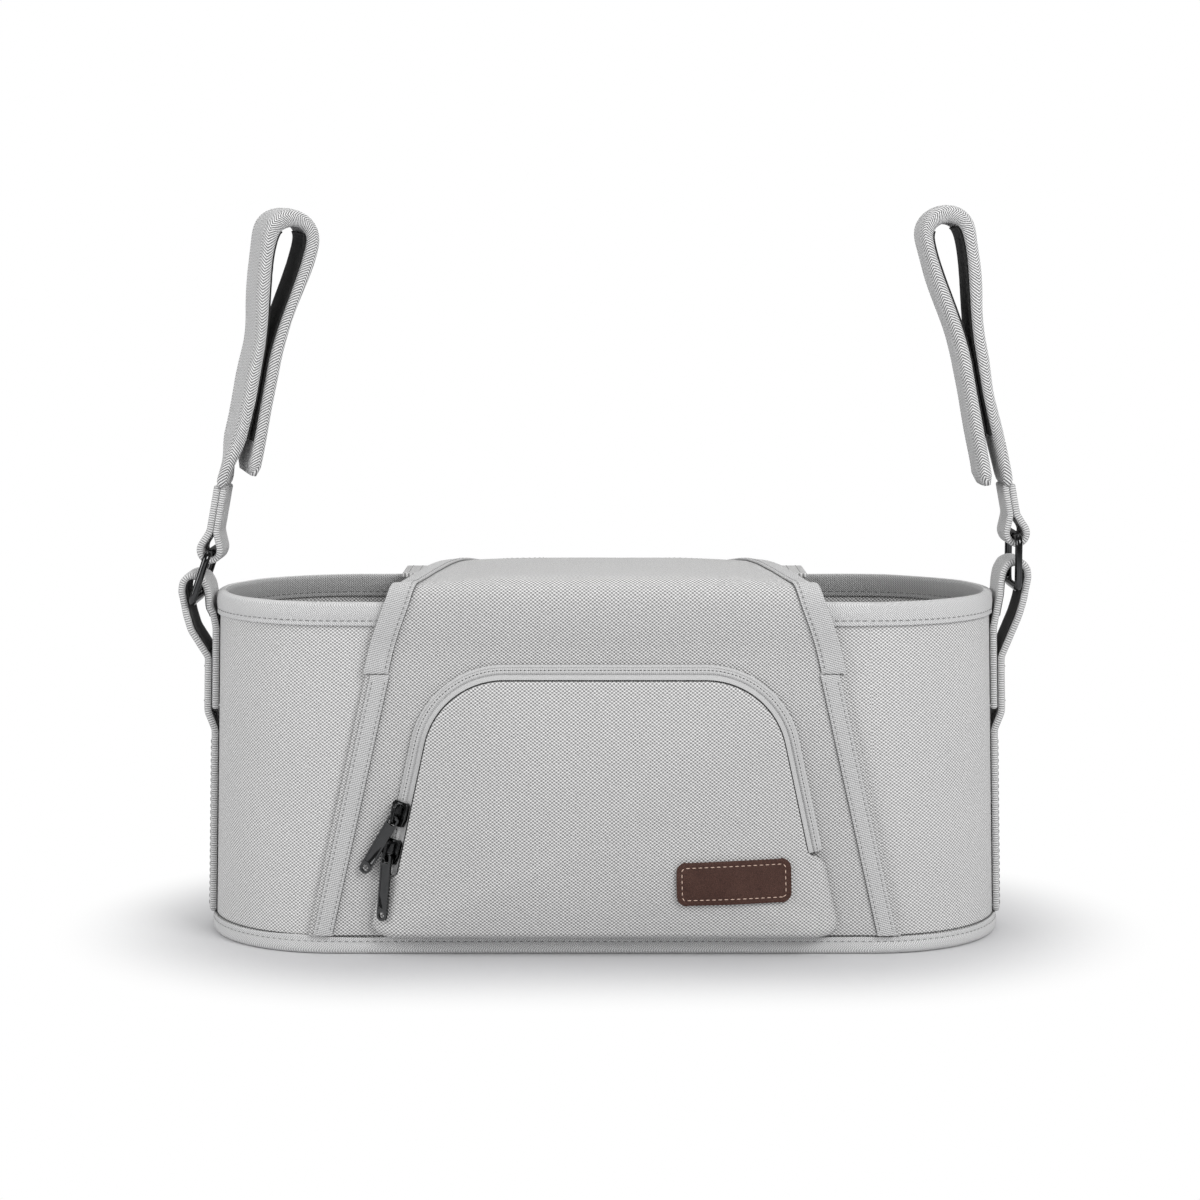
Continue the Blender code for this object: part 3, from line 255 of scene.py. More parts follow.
def grey(level, warm=0.0):
    """A grey of this brightness, a little warmer or cooler."""
    return (level * (1 + warm), level, level * (1 - warm), 1.0)


# %% Plain weave


def plain_weave(name, level, thread_u=0.00093, thread_v=0.00074, contrast=0.60, lift=0.00030,
                warm=0.004, sheen=0.15):
    """Over-and-under threads: a checker with soft edges, thread by thread."""
    cloth = Finish(name, Roughness=0.92, Sheen_Weight=sheen, Sheen_Roughness=0.6)
    uv, u, v = cloth.cloth_place()
    wander = cloth.sum("MULTIPLY", cloth.noise(uv, 420.0), 1.5)
    over = cloth.sum("MULTIPLY", cloth.wave(u, 2 * thread_u, wander), cloth.wave(v, 2 * thread_v, wander))
    share = cloth.spread(over, -0.8, 0.8)
    slub = cloth.noise(uv, 900.0, 1.0)
    patchy = cloth.noise(cloth.own_place(), 11.0, 3.0)
    # Dark and pale follow the threads: partly their own tones, partly painted shade in the gaps between
    # them.
    pale, dark = grey(level * (1 + contrast), warm), grey(level * (1 - contrast), warm)
    colour = cloth.mix(share, dark, pale)
    colour = cloth.mix(cloth.spread(slub, 0.35, 0.65, 0.0, 0.16), colour, grey(level * 1.35, warm))
    colour = cloth.mix(cloth.spread(patchy, 0.35, 0.65, 0.0, 0.10), colour, grey(level * 0.72, warm))
    cloth.paint(colour)
    cloth.bump(patchy, 0.0015, 0.35)
    cloth.bump(over, lift, 0.8)
    return cloth.material


def ribbed_tape(name, level, pitch=0.0011, slant=0.35, contrast=0.10, lift=0.0001, warm=0.0):
    """A fine twill: slanting ribs that cross the tape."""
    tape = Finish(name, Roughness=0.85, Sheen_Weight=0.12, Sheen_Roughness=0.5)
    uv, u, v = tape.cloth_place()
    run = tape.sum("ADD", tape.sum("MULTIPLY", u, slant), v)
    wander = tape.sum("MULTIPLY", tape.noise(uv, 300.0), 1.2)
    ribs = tape.wave(run, pitch, wander)
    threads = tape.wave(u, 0.0009)
    over = tape.sum("ADD", ribs, tape.sum("MULTIPLY", threads, 0.5))
    patchy = tape.noise(tape.own_place(), 16.0, 3.0)
    colour = tape.mix(tape.spread(over, -1.3, 1.3), grey(level * (1 - contrast), warm),
                      grey(level * (1 + contrast), warm))
    colour = tape.mix(tape.spread(patchy, 0.35, 0.65, 0.0, 0.12), colour, grey(level * 0.7, warm))
    tape.paint(colour)
    tape.bump(patchy, 0.001, 0.3)
    tape.bump(over, lift, 0.6)
    return tape.material


def chevron_webbing(name, level, band=0.0065, pitch=0.0017, contrast=0.13, lift=0.0002):
    """Heavy webbing: ribs that turn back and forth in bands, as on a herringbone."""
    web = Finish(name, Roughness=0.82, Sheen_Weight=0.15, Sheen_Roughness=0.5)
    uv, u, v = web.cloth_place()
    zigzag = web.sum("PINGPONG", web.sum("ADD", u, 0.5), band)
    run = web.sum("ADD", v, web.sum("MULTIPLY", zigzag, 0.8))
    ribs = web.wave(run, pitch)
    wander = web.noise(uv, 700.0)
    share = web.spread(web.sum("ADD", ribs, web.sum("MULTIPLY", wander, 0.6)), -0.8, 1.3)
    colour = web.mix(share, grey(level * (1 - contrast)), grey(level * (1 + contrast)))
    web.paint(colour)
    web.bump(ribs, lift, 0.7)
    return web.material


PANEL_CLOTH = plain_weave("panel_cloth", 0.545, contrast=0.72)
# The walls are the same cloth as the panel, painted brighter: painted light on the walls.
WALL_CLOTH_PAINTED_LIGHT = plain_weave("wall_cloth", 0.605, contrast=0.66)
LINING_CLOTH = plain_weave("lining_cloth", 0.300, 0.0006, 0.0006, 0.20, 0.00008)
EDGE_TAPE = ribbed_tape("edge_tape", 0.635, 0.00095, 0.8, contrast=0.42, lift=0.00016)
# The rim binding's inner side is the same tape painted darker: painted shade inside the tub.
INNER_RIM_PAINTED_SHADE = ribbed_tape("inner_tape", 0.400, 0.00095, 0.8, contrast=0.62, lift=0.00016)
FLAP_TAPE = ribbed_tape("flap_tape", 0.570, contrast=0.36, lift=0.00020)
STRAP_CLOTH = chevron_webbing("strap_cloth", 0.590, 0.0066, 0.00135, 0.85, 0.00034)
WEBBING = chevron_webbing("webbing", 0.560, 0.0052, 0.00105, 0.58, 0.00016)
# Near-black cloth for the inside of the webbing loops: painted shade.
LOOP_PAINTED_SHADE = ribbed_tape("loop_painted_shade", 0.030)
print("cloth finishes ready")

# %% Thread, zip tape, leather, metal, board, hooks and loops


def spun_thread(name, colour):
    """Sewing thread: two plies that show as a fine stripe."""
    thread = Finish(name, Roughness=0.75, Sheen_Weight=0.2)
    stripe = thread.noise(thread.own_place(), 1800.0, 0.0)
    dark = tuple(0.72 * c for c in colour[:3]) + (1.0,)
    thread.paint(thread.mix(stripe, dark, colour))
    thread.bump(stripe, 0.0001, 0.5)
    return thread.material


def zip_tape(name, level):
    """Close, smooth zip tape with fine ribs along its length."""
    tape = Finish(name, Roughness=0.8, Sheen_Weight=0.1)
    uv, u, _ = tape.cloth_place()
    ribs = tape.wave(u, 0.0008)
    specks = tape.noise(uv, 1500.0, 1.0)
    over = tape.sum("ADD", ribs, tape.sum("MULTIPLY", specks, 0.8))
    colour = tape.mix(tape.spread(over, -1.0, 1.8), grey(level * 0.92), grey(level * 1.07))
    tape.paint(colour)
    tape.bump(over, 0.00008, 0.5)
    return tape.material


def zip_groove(name, level):
    """The chain's bed: pale coil ridges, and painted shade in the gap between them."""
    bed = Finish(name, Roughness=0.7)
    _, u, v = bed.cloth_place()
    gap = bed.spread(bed.sum("ABSOLUTE", u), 0.0003, 0.0005)
    coil = bed.wave(v, 0.00088)
    ridge = bed.mix(bed.spread(coil, -1.0, 1.0), grey(level * 0.86), grey(level * 1.08))
    # The near-black between the coils is painted shade in their gap.
    bed.paint(bed.mix(gap, grey(0.03), ridge))
    bed.bump(coil, 0.0001, 0.6)
    return bed.material


def grained_leather(name):
    """Dark brown hide: small pebbles, darker creases and a soft polish on the high spots."""
    hide = Finish(name, Specular_IOR_Level=0.28, Coat_Weight=0.03, Coat_Roughness=0.35)
    own = hide.own_place()
    cells = hide.node("ShaderNodeTexVoronoi", feature="DISTANCE_TO_EDGE")
    hide.feed(cells.inputs["Vector"], own)
    cells.inputs["Scale"].default_value = 1500.0
    pebble = hide.spread(cells.outputs["Distance"], 0.0, 0.22)
    tone = hide.noise(own, 90.0, 4.0)
    dark, mid, pale = (0.040, 0.016, 0.011, 1), (0.074, 0.031, 0.022, 1), (0.096, 0.044, 0.032, 1)
    colour = hide.mix(hide.spread(tone, 0.35, 0.65), mid, pale)
    colour = hide.mix(pebble, dark, colour)
    hide.paint(colour)
    hide.feed(hide.shader.inputs["Roughness"], hide.spread(tone, 0.3, 0.7, 0.42, 0.60))
    hide.bump(tone, 0.0003, 0.4)
    hide.bump(pebble, 0.00008, 0.6)
    return hide.material


def dark_plating(name, level, roughness):
    """Gunmetal plate: nearly smooth, with faint polishing marks."""
    metal = Finish(name, Metallic=1.0)
    own = metal.own_place()
    smear = metal.noise(own, 260.0, 3.0)
    colour = metal.mix(smear, grey(level * 0.85, -0.02), grey(level * 1.2, -0.01))
    metal.paint(colour)
    metal.feed(metal.shader.inputs["Roughness"],
               metal.spread(smear, 0.3, 0.7, roughness - 0.05, roughness + 0.08))
    metal.bump(smear, 0.00003, 0.3)
    return metal.material


def rough_board(name, level):
    """Stiff pressed board with a fine felted face."""
    board = Finish(name, Roughness=0.8)
    fibre = board.noise(board.own_place(), 900.0, 4.0)
    board.paint(board.mix(fibre, grey(level * 0.7), grey(level * 1.3)))
    board.bump(fibre, 0.0002, 0.5)
    return board.material


def hook_pile(name, level):
    """Hook-and-loop tape: rows of tiny black hooks that show as a dense speckle."""
    pile = Finish(name, Roughness=0.7, Sheen_Weight=0.1, Sheen_Roughness=0.4)
    uv, u, v = pile.cloth_place()
    rows = pile.sum("MULTIPLY", pile.wave(u, 0.0012), pile.wave(v, 0.0012))
    fuzz = pile.noise(uv, 1600.0, 2.0)
    tip = pile.spread(pile.sum("ADD", rows, pile.sum("MULTIPLY", fuzz, 1.4)), 0.3, 1.6)
    pile.paint(pile.mix(tip, grey(level * 0.5), grey(level * 2.4)))
    pile.bump(tip, 0.0006, 0.8)
    return pile.material


# The stitching thread is a grey well darker than the cloth: partly the thread's colour, partly painted
# shade of the stitch holes.
STITCH_THREAD_AND_HOLE_SHADE = spun_thread("stitch_thread_and_hole_shade", grey(0.24))
# Dark thread sews real seams and also draws the lines of painted shadow along the hem and tape edges.
DARK_THREAD_AND_PAINTED_SHADOW = spun_thread("dark_thread_and_painted_shadow", grey(0.12))
BLACK_THREAD = spun_thread("black_thread", grey(0.035))
TAN_THREAD = spun_thread("tan_thread", (0.80, 0.58, 0.47, 1.0))
ZIP_TAPE = zip_tape("zip_tape", 0.560)
ZIP_BED = zip_groove("zip_bed", 0.560)
HIDE = grained_leather("brown_leather")
GUNMETAL = dark_plating("gunmetal", 0.080, 0.10)
STEEL = dark_plating("steel", 0.55, 0.3)
BOARD = rough_board("stiff_board", 0.05)
PILE = hook_pile("hook_pile", 0.012)
print("other finishes ready")

# %% [markdown]
# ## Laying cloth
# A strip of cloth is easiest to think of as rows of points, so each soft piece starts as
# Blender's grid, and every point of the grid moves to its place in the rows. The UV map is
# measured on the way, in metres along and across the cloth, so that threads keep their real
# size on every piece. Solidify then gives the ply, and a small bevel rounds its cut edges.

# %% Small helpers
SIDES = (("left", -1), ("right", 1))


def lerp(a, b, t):
    """The value a share t of the way from a to b."""
    return a + (b - a) * t


def ease(t):
    """A share between 0 and 1 with a soft start and end."""
    t = min(max(t, 0.0), 1.0)
    return t * t * (3 - 2 * t)


def along(knots, value):
    """The height of a line of straight stretches through (place, height) knots."""
    for (x0, y0), (x1, y1) in zip(knots, knots[1:]):
        if value <= x1:
            return lerp(y0, y1, (value - x0) / (x1 - x0))
    return knots[-1][1]


def even(start, end, steps):
    """Equal steps from start to end, both ends included."""
    return [lerp(start, end, i / steps) for i in range(steps + 1)]


def hump(value, centre, width):
    """A soft bump of height 1 at its centre."""
    return math.exp(-((value - centre) / width) ** 2)


def row_lengths(points):
    """How far along a line each of its points lies."""
    lengths = [0.0]
    for start, end in zip(points, points[1:]):
        lengths.append(lengths[-1] + (end - start).length)
    return lengths


def soften(rows, spacing, passes=2):
    """The same strip with evenly spaced rows and its corners rounded off."""
    guide = [row[len(row) // 2] for row in rows]
    lengths = row_lengths(guide)
    steps = max(2, round(lengths[-1] / spacing))
    made = []
    index = 0
    for step in range(steps + 1):
        reach = lengths[-1] * step / steps
        while index < len(lengths) - 2 and lengths[index + 1] < reach:
            index += 1
        share = (reach - lengths[index]) / (lengths[index + 1] - lengths[index])
        made.append([lerp(a, b, share) for a, b in zip(rows[index], rows[index + 1])])
    for _ in range(passes):
        inner = [[(a + 2 * b + c) / 4 for a, b, c in zip(before, row, after)]
                 for before, row, after in zip(made, made[1:], made[2:])]
        made = [made[0]] + inner + [made[-1]]
    return made


def lay(rows, closed=False, flat=None):
    """A grid laid through rows of points, with a UV map in metres called cloth."""
    if closed:
        rows = [row + row[:1] for row in rows]
    bm = bmesh.new()
    threads = bm.loops.layers.uv.new("cloth")
    bmesh.ops.create_grid(bm, x_segments=len(rows[0]) - 1, y_segments=len(rows) - 1, size=0.5)
    up = row_lengths([row[len(row) // 2] for row in rows])
    places, uvs = [], []
    for row, v in zip(rows, up):
        across = row_lengths(row)
        for point, u in zip(row, across):
            places.append(point)
            uvs.append((u - across[-1] / 2, v) if flat is None else (point[flat[0]], point[flat[1]]))
    for vertex, point in zip(bm.verts, places):
        vertex.co = point
    for face in bm.faces:
        for corner in face.loops:
            corner[threads].uv = uvs[corner.vert.index]
    bmesh.ops.remove_doubles(bm, verts=bm.verts, dist=0.00001)
    return bm


def add_piece(name, bm, material, body="bag", ply=0.0, rounding=0.0, smooth=0,
              replaces=()):
    """Turn a bmesh into a named piece that rides on its body."""
    mesh = bpy.data.meshes.new(name)
    bm.to_mesh(mesh)
    bm.free()
    mesh.shade_smooth()
    mesh.materials.append(material)
    piece = bpy.data.objects.new(name, mesh)
    bpy.context.scene.collection.objects.link(piece)
    if smooth:
        surface = piece.modifiers.new("Smooth", "SUBSURF")
        surface.levels = surface.render_levels = smooth
    if ply:
        solid = piece.modifiers.new("Ply", "SOLIDIFY")
        solid.thickness = ply
        solid.offset = 0.0
        solid.use_even_offset = True
    if rounding:
        edge = piece.modifiers.new("Edge", "BEVEL")
        edge.width = rounding
        edge.segments = 2
        edge.limit_method = "ANGLE"
        edge.angle_limit = math.radians(50)
    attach(piece, body)
    if replaces:
        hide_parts(*replaces)
    return piece


def refinish(name, material):
    """Give a solid that shows as it is its material."""
    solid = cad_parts[name]
    solid.data.materials.clear()
    solid.data.materials.append(material)


def declare_sheet(rows, closed=False):
    if closed:
        rows = [row + row[:1] for row in rows]


# %% [markdown]
# ## Stitches
# Every edge of the bag is sewn. A stitch is a short, round piece of thread that dips into the
# cloth at both ends, so one small ico sphere, stretched along the seam, is enough for it. They
# are set one after another along a line of places, each turned to the seam and the cloth.

# %% Sewing


def sew(name, runs, pitch, length, material, slot="tape", width=0.00045, height=0.00036):
    """Stitches along runs of (place, outward) pairs, as one piece."""
    bm = bmesh.new()
    shape = Matrix.Diagonal((length / 2, width / 2, height / 2, 1.0))
    count = 0
    for run in runs:
        travelled, wanted = 0.0, pitch / 2
        for (start, out), (end, _) in zip(run, run[1:]):
            step = end - start
            if step.length == 0:
                continue
            forward = step.normalized()
            side = Vector(out).cross(forward).normalized()
            turn = Matrix((forward, side, forward.cross(side))).transposed().to_4x4()
            while wanted <= travelled + step.length:
                spot = start + step * ((wanted - travelled) / step.length)
                bmesh.ops.create_icosphere(bm, subdivisions=1, radius=1.0,
                                           matrix=Matrix.Translation(spot) @ turn @ shape)
                count += 1
                wanted += pitch
            travelled += step.length
    print(name, count, "stitches")
    add_piece(name, bm, material)


# A seam's pitch, the length of its stitches and its thread
WIDE_STITCH = (0.0031, 0.0024, STITCH_THREAD_AND_HOLE_SHADE)
FINE_STITCH = (0.0025, 0.0016, STITCH_THREAD_AND_HOLE_SHADE)

# %% [markdown]
# ## The tub
# The tub is one strip of cloth round an oval: two straight sides and two half-round ends. It
# could be an extruded outline, but rows of ovals let the wall narrow towards its rim and wave
# a little, as soft cloth does between its stiff edges.

# %% The wall
HALF_DEPTH = 0.060
RIM_Z = 0.156
BASE_HALF_X = 0.180
RIM_HALF_X = 0.176
GAP = 0.0003
WALL_T = 0.0024
WALL_WAVE = 0.0010


def half_length(z):
    """The tub narrows a little towards its rim."""
    return lerp(BASE_HALF_X, RIM_HALF_X, z / RIM_Z)


def oval(z, inset, end_steps=30, side_steps=36):
    """The tub's outline at one height, this far inside the wall's outer face."""
    centre = half_length(z) - HALF_DEPTH
    radius = HALF_DEPTH - inset
    points = []
    for side in (1, -1):
        for angle in even(-math.pi / 2, math.pi / 2, end_steps):
            points.append(Vector((side * (centre + radius * math.cos(angle)),
                                  side * radius * math.sin(angle), z)))
        for x in even(centre, -centre, side_steps)[1:-1]:
            points.append(Vector((side * x, side * radius, z)))
    return points


def oval_out(point, z):
    """The direction out of the tub at a point of its outline."""
    centre = half_length(z) - HALF_DEPTH
    beyond = max(0.0, abs(point.x) - centre)
    return Vector((math.copysign(beyond, point.x), point.y, 0.0)).normalized()


def wall_wave(point):
    """Cloth is never quite flat: broad soft waves, none where other pieces lie on it."""
    free = ease((abs(point.x) - 0.137) / 0.015) * ease((abs(point.y) - 0.016) / 0.012)
    height = ease((point.z - 0.014) / 0.02) * ease((0.142 - point.z) / 0.02)
    wave = noise.noise(Vector((point.x * 30, point.y * 30, point.z * 22)))
    return WALL_WAVE * wave * free * height


wall_rows = []
for z in even(0.0016, RIM_Z, 30):
    row = oval(z, WALL_T / 2)
    wall_rows.append([p + oval_out(p, z) * wall_wave(p) for p in row])
wall = add_piece("wall_cloth", lay(wall_rows, closed=True), WALL_CLOTH_PAINTED_LIGHT, ply=WALL_T,
                 replaces=["outer_wall"])
declare_sheet(wall_rows, closed=True)

# %% [markdown]
# ## Bound edges
# A binding is a strip of tape folded over the raw edge and sewn through. Its face puffs out
# between the fold and the stitch line, and the stitches pull a shallow groove. The fold is
# laid as a profile that goes round the oval, which is what a sweep along a curve would give,
# but with the groove and the puff under control.

# %% Rim binding
RIM_BAND = 0.009
RIM_STITCH_Z = RIM_Z - RIM_BAND + 0.0022


def rim_profile():
    """(inset, height) pairs from the outer foot over the rim to the inner foot."""
    half = []
    foot = RIM_Z - RIM_BAND
    for z in even(foot, RIM_Z - 0.0004, 9):
        puff = 0.00028 * hump(z, RIM_Z - 0.0034, 0.0024)
        groove = 0.00018 * hump(z, RIM_STITCH_Z, 0.0005)
        half.append((0.00085 + puff - groove, z))
    outer = [(-inset, z) for inset, z in half]
    inner = [(WALL_T + inset, z) for inset, z in reversed(half)]
    middle, radius = WALL_T / 2, WALL_T / 2 + 0.0008
    fold = [(middle - radius * math.cos(a), RIM_Z - 0.0002 + 0.0011 * math.sin(a))
            for a in even(math.radians(15), math.radians(165), 7)]
    return outer + fold + inner


rim_rows = []
for inset, z in rim_profile():
    rim_rows.append([p + Vector((0, 0, 0.0002 * noise.noise(p * 60))) for p in oval(z, inset)])
rim = add_piece("rim_tape", lay(rim_rows, closed=True), EDGE_TAPE, ply=0.0009,
                rounding=0.0002, replaces=["rim_binding"])
# Faces inside the rim take the darker tape, which is painted shade on the binding's inner side.
rim.data.materials.append(INNER_RIM_PAINTED_SHADE)
for face in rim.data.polygons:
    beyond = max(0.0, abs(face.center.x) - (RIM_HALF_X - HALF_DEPTH))
    if math.hypot(beyond, face.center.y) < HALF_DEPTH - WALL_T:
        face.material_index = 1

# %% Hem binding
HEM_BAND = 0.008
HEM_STITCH_Z = 0.0058
HEM_WAVE = 0.0010


def hem_wave(point):
    """The hem's upper edge wanders a little."""
    return HEM_WAVE * noise.noise(Vector((point.x * 34, point.y * 34, 0.7)))


hem_rows = []
for z in even(HEM_BAND, 0.0022, 8):
    puff = 0.0003 * hump(z, 0.0035, 0.0020) - 0.0002 * hump(z, HEM_STITCH_Z, 0.0005)
    row = oval(z, -(0.0009 + puff))
    hem_rows.append([p + Vector((0, 0, hem_wave(p) * ease((z - 0.003) / 0.004))) for p in row])
for angle in even(math.radians(15), math.radians(90), 4):
    hem_rows.append(oval(0.0022 - 0.0016 * math.sin(angle), 0.0008 - 0.0018 * math.cos(angle)))
hem_rows.append(oval(0.0006, 0.0030))
add_piece("hem_tape", lay(hem_rows, closed=True), EDGE_TAPE, ply=0.0011,
          rounding=0.0002, replaces=["hem_binding"])

# %% Stitches of the bound edges


def oval_seam(z, inset):
    """A seam round the tub as (place, outward) pairs, closed on itself."""
    inward = 1 if inset <= 0 else -1
    run = [(p, oval_out(p, z) * inward) for p in oval(z, inset)]
    return run + run[:1]


RIM_OUT = 0.00135
sew("rim_stitches", [oval_seam(RIM_STITCH_Z, -RIM_OUT), oval_seam(RIM_STITCH_Z, WALL_T + RIM_OUT)],
    *WIDE_STITCH)
sew("hem_stitches", [oval_seam(HEM_STITCH_Z, -0.00145)], 0.0031, 0.0019, STITCH_THREAD_AND_HOLE_SHADE, width=0.0004)
# A dark line of close stitches along the hem's top edge is painted shadow under that edge.
sew("hem_edge_painted_shadow", [oval_seam(HEM_BAND + 0.0003, -0.0002)], 0.0013, 0.0015, DARK_THREAD_AND_PAINTED_SHADOW,
    width=0.0008)

# %% [markdown]
# ## Inside the tub
# The base is a cloth panel under a stiff board. Two padded dividers make the cup holders at
# the ends, and each holder has its own lining pouch. From above they are what one sees most,
# so they get their own cloth, bound tops and stitches.

# %% Base panel and board
BASE_T = 0.0018
base_rows = [oval(BASE_T / 2 + 0.0001, inset) for inset in (0.0034, 0.008, 0.02, 0.035, 0.050, 0.060)]
base = add_piece("base_cloth", lay(base_rows, closed=True, flat=(0, 1)), PANEL_CLOTH,
                 ply=BASE_T - 0.0002, rounding=0.0003, replaces=["base_panel"])
FLOOR_Z = 0.0044
refinish("base_board", BOARD)

# %% Dividers
DIVIDER_X = 0.092
DIVIDER_T = 0.0024
DIVIDER_TOP = 0.1458


def divider_rows(x, half_t, top, foot, reach):
    """Up one face of a divider, over its top and down the other, in rows across the tub."""
    profile = [(-half_t - 0.00015 * math.sin(math.pi * t), lerp(foot, top - half_t, t))
               for t in even(0, 1, 12)]
    over = [(-half_t * math.cos(a), top - half_t + half_t * math.sin(a))
            for a in even(0, math.pi, 6)[1:-1]]
    back = [(-dx, z) for dx, z in reversed(profile)]
    return [[Vector((x + dx, y, z)) for dx, z in profile + over + back]
            for y in even(-reach, reach, 24)]


def close_ends(bm):
    """Cap the open ends of a swept shape."""
    edges = [edge for edge in bm.edges if edge.is_boundary]
    bmesh.ops.holes_fill(bm, edges=edges, sides=0)
    return bm


DIVIDER_REACH = HALF_DEPTH - WALL_T - GAP
for name, side in SIDES:
    x = side * DIVIDER_X
    rows = divider_rows(x, DIVIDER_T / 2 - 0.0001, DIVIDER_TOP, FLOOR_Z + 0.0001, DIVIDER_REACH)
    add_piece(name + "_divider_cloth", close_ends(lay(rows, closed=True)), LINING_CLOTH,
              rounding=0.0004, replaces=[name + "_divider"])
    rows = divider_rows(x, DIVIDER_T / 2 + 0.0006, DIVIDER_TOP + 0.0007, DIVIDER_TOP - 0.008,
                        DIVIDER_REACH - 0.0016)
    add_piece(name + "_divider_tape", lay(rows), EDGE_TAPE, ply=0.0006, rounding=0.0001)
    runs = []
    for face in (-1, 1):
        line = [Vector((x + face * 0.0022, y, DIVIDER_TOP - 0.006)) for y in even(-0.055, 0.055, 20)]
        runs.append([(p, Vector((face, 0, 0))) for p in line])
    sew(name + "_divider_stitches", runs, *WIDE_STITCH)

# %% Cup linings
LINER_T = 0.0015
LINER_TOP = RIM_Z - 0.016
# The pouch's last rows, as heights over the board and how far each is drawn in
LINER_FOOT = ((0.0013, 0.001), (0.0010, 0.003), (0.0009, 0.010), (0.0009, 0.020))


def liner_outline(z, inset, side, shrink=0.0):
    """A D: flat along the divider, round along the tub's end."""
    centre = half_length(z) - HALF_DEPTH
    radius = HALF_DEPTH - WALL_T - GAP - inset - shrink
    flat = DIVIDER_X + DIVIDER_T / 2 + GAP + inset + shrink
    corner = max(0.0005, min(0.009 - shrink * 0.2, centre - flat))
    points = [(centre + radius * math.cos(a), radius * math.sin(a))
              for a in even(-math.pi / 2, math.pi / 2, 28)]
    for start, end, sign in ((90, 180, 1), (180, 270, -1)):
        for a in even(math.radians(start), math.radians(end), 6):
            points.append((flat + corner + corner * math.cos(a),
                           sign * (radius - corner) + corner * math.sin(a)))
    return [Vector((side * x, y, z)) for x, y in points]


for name, side in SIDES:
    rows = [liner_outline(z, LINER_T / 2 + 0.0001, side) for z in even(LINER_TOP, FLOOR_Z + 0.003, 12)]
    rows += [liner_outline(FLOOR_Z + up, LINER_T / 2, side, shrink) for up, shrink in LINER_FOOT]
    bm = lay(rows, closed=True)
    last = [v for v in bm.verts if v.is_boundary and v.co.z < 0.02]
    bmesh.ops.contextual_create(bm, geom=last + [e for e in bm.edges if e.is_boundary
                                                 and all(v in last for v in e.verts)])
    add_piece(name + "_cup_cloth", bm, LINING_CLOTH, ply=LINER_T - 0.0002,
              rounding=0.0003, replaces=[name + "_cup_liner"])
    seam = [(p - Vector((0, 0, 0.003)), (Vector((side * 0.13, 0, p.z)) - p).normalized())
            for p in liner_outline(LINER_TOP, LINER_T + 0.0002, side)]
    sew(name + "_cup_stitches", [seam + seam[:1]], *WIDE_STITCH)

# %% [markdown]
# ## The centre panel
# One long piece of stiffened cloth goes up the front, over the rim and back as a flap. Its
# path is drawn once, seen from the end of the bag, and rounded off. Everything that is sewn to
# the panel then asks the same function for its place: so far along, so far across, so far out.

# %% The panel's path
PANEL_T = 0.0022
TACK_Z = 0.1258
SHOULDER_Z = 0.157
PANEL_FOOT_Z = HEM_BAND + 0.0008
FRONT_FACE_Y = -(HALF_DEPTH + GAP + PANEL_T)
PANEL_FOOT_HALF = 0.1315
PANEL_TAPER = 0.2265
FOLD_DRAW = 0.0036
FOLD_SAG = 0.0046
FLAP_SAG = 0.0023


def panel_path():
    """(y, z) points from the foot of the panel over the rim to the flap's back edge."""
    on_wall = -(HALF_DEPTH + GAP + PANEL_T / 2)
    on_rim = on_wall - 0.0015
    path = [(on_wall, PANEL_FOOT_Z), (on_wall, RIM_Z - 0.0198), (on_rim, RIM_Z - RIM_BAND)]
    for angle in even(0, math.pi / 2, 10):
        path.append((on_rim + 0.0115 * (1 - math.cos(angle)), SHOULDER_Z + 0.0105 * math.sin(angle)))
    top = SHOULDER_Z + 0.0105
    path += [(-0.030, top + 0.0012), (-0.005, top + 0.0015), (0.015, top + 0.0009),
             (0.030, top - 0.0006), (0.050, top - 0.0034)]
    return [[Vector((0.0, y, z))] for y, z in path]


PANEL_LINE = [row[0] for row in soften(panel_path(), 0.0015, 3)]
PANEL_LENGTHS = row_lengths(PANEL_LINE)
PANEL_END = PANEL_LENGTHS[-1]
TACK_S = TACK_Z - PANEL_FOOT_Z


def panel_half_width(s):
    """Half the panel's width this far along it, drawn in a little where the flap turns over."""
    return PANEL_FOOT_HALF - PANEL_TAPER * s - FOLD_DRAW * ease((s - 0.126) / 0.036)


def panel_place(s, x, lift):
    """A point over the panel: s along it, x across it and this far out from its middle."""
    step = PANEL_END / (len(PANEL_LINE) - 1)
    index = min(int(s / step), len(PANEL_LINE) - 2)
    share = s / step - index
    spot = lerp(PANEL_LINE[index], PANEL_LINE[index + 1], share)
    before = PANEL_LINE[max(index - 1, 0)]
    after = PANEL_LINE[min(index + 2, len(PANEL_LINE) - 1)]
    run = (after - before).normalized()
    y, z = spot.y - lift * run.z, spot.z + lift * run.y
    beyond = abs(x) - (half_length(z) - HALF_DEPTH)
    if beyond > 0 and y < -HALF_DEPTH:
        y = -math.sqrt(y * y - beyond * beyond)
    sag = ease((y + 0.0625) / 0.010) * lerp(FOLD_SAG, FLAP_SAG, ease((y + 0.045) / 0.060))
    z -= sag * (abs(x) / panel_half_width(s)) ** 4
    return Vector((x, y, z))


def panel_out(s, x):
    """The direction out of the panel there."""
    return (panel_place(s, x, 0.003) - panel_place(s, x, 0.001)).normalized()


def panel_wave(s, x):
    """A slight unevenness of the stiffened cloth above the pocket and on the flap."""
    free = ease((s - TACK_S + 0.01) / 0.02) * ease((0.9 - abs(x) / panel_half_width(s)) / 0.3)
    return 0.0004 * noise.noise(Vector((x * 22, s * 26, 2.0))) * free


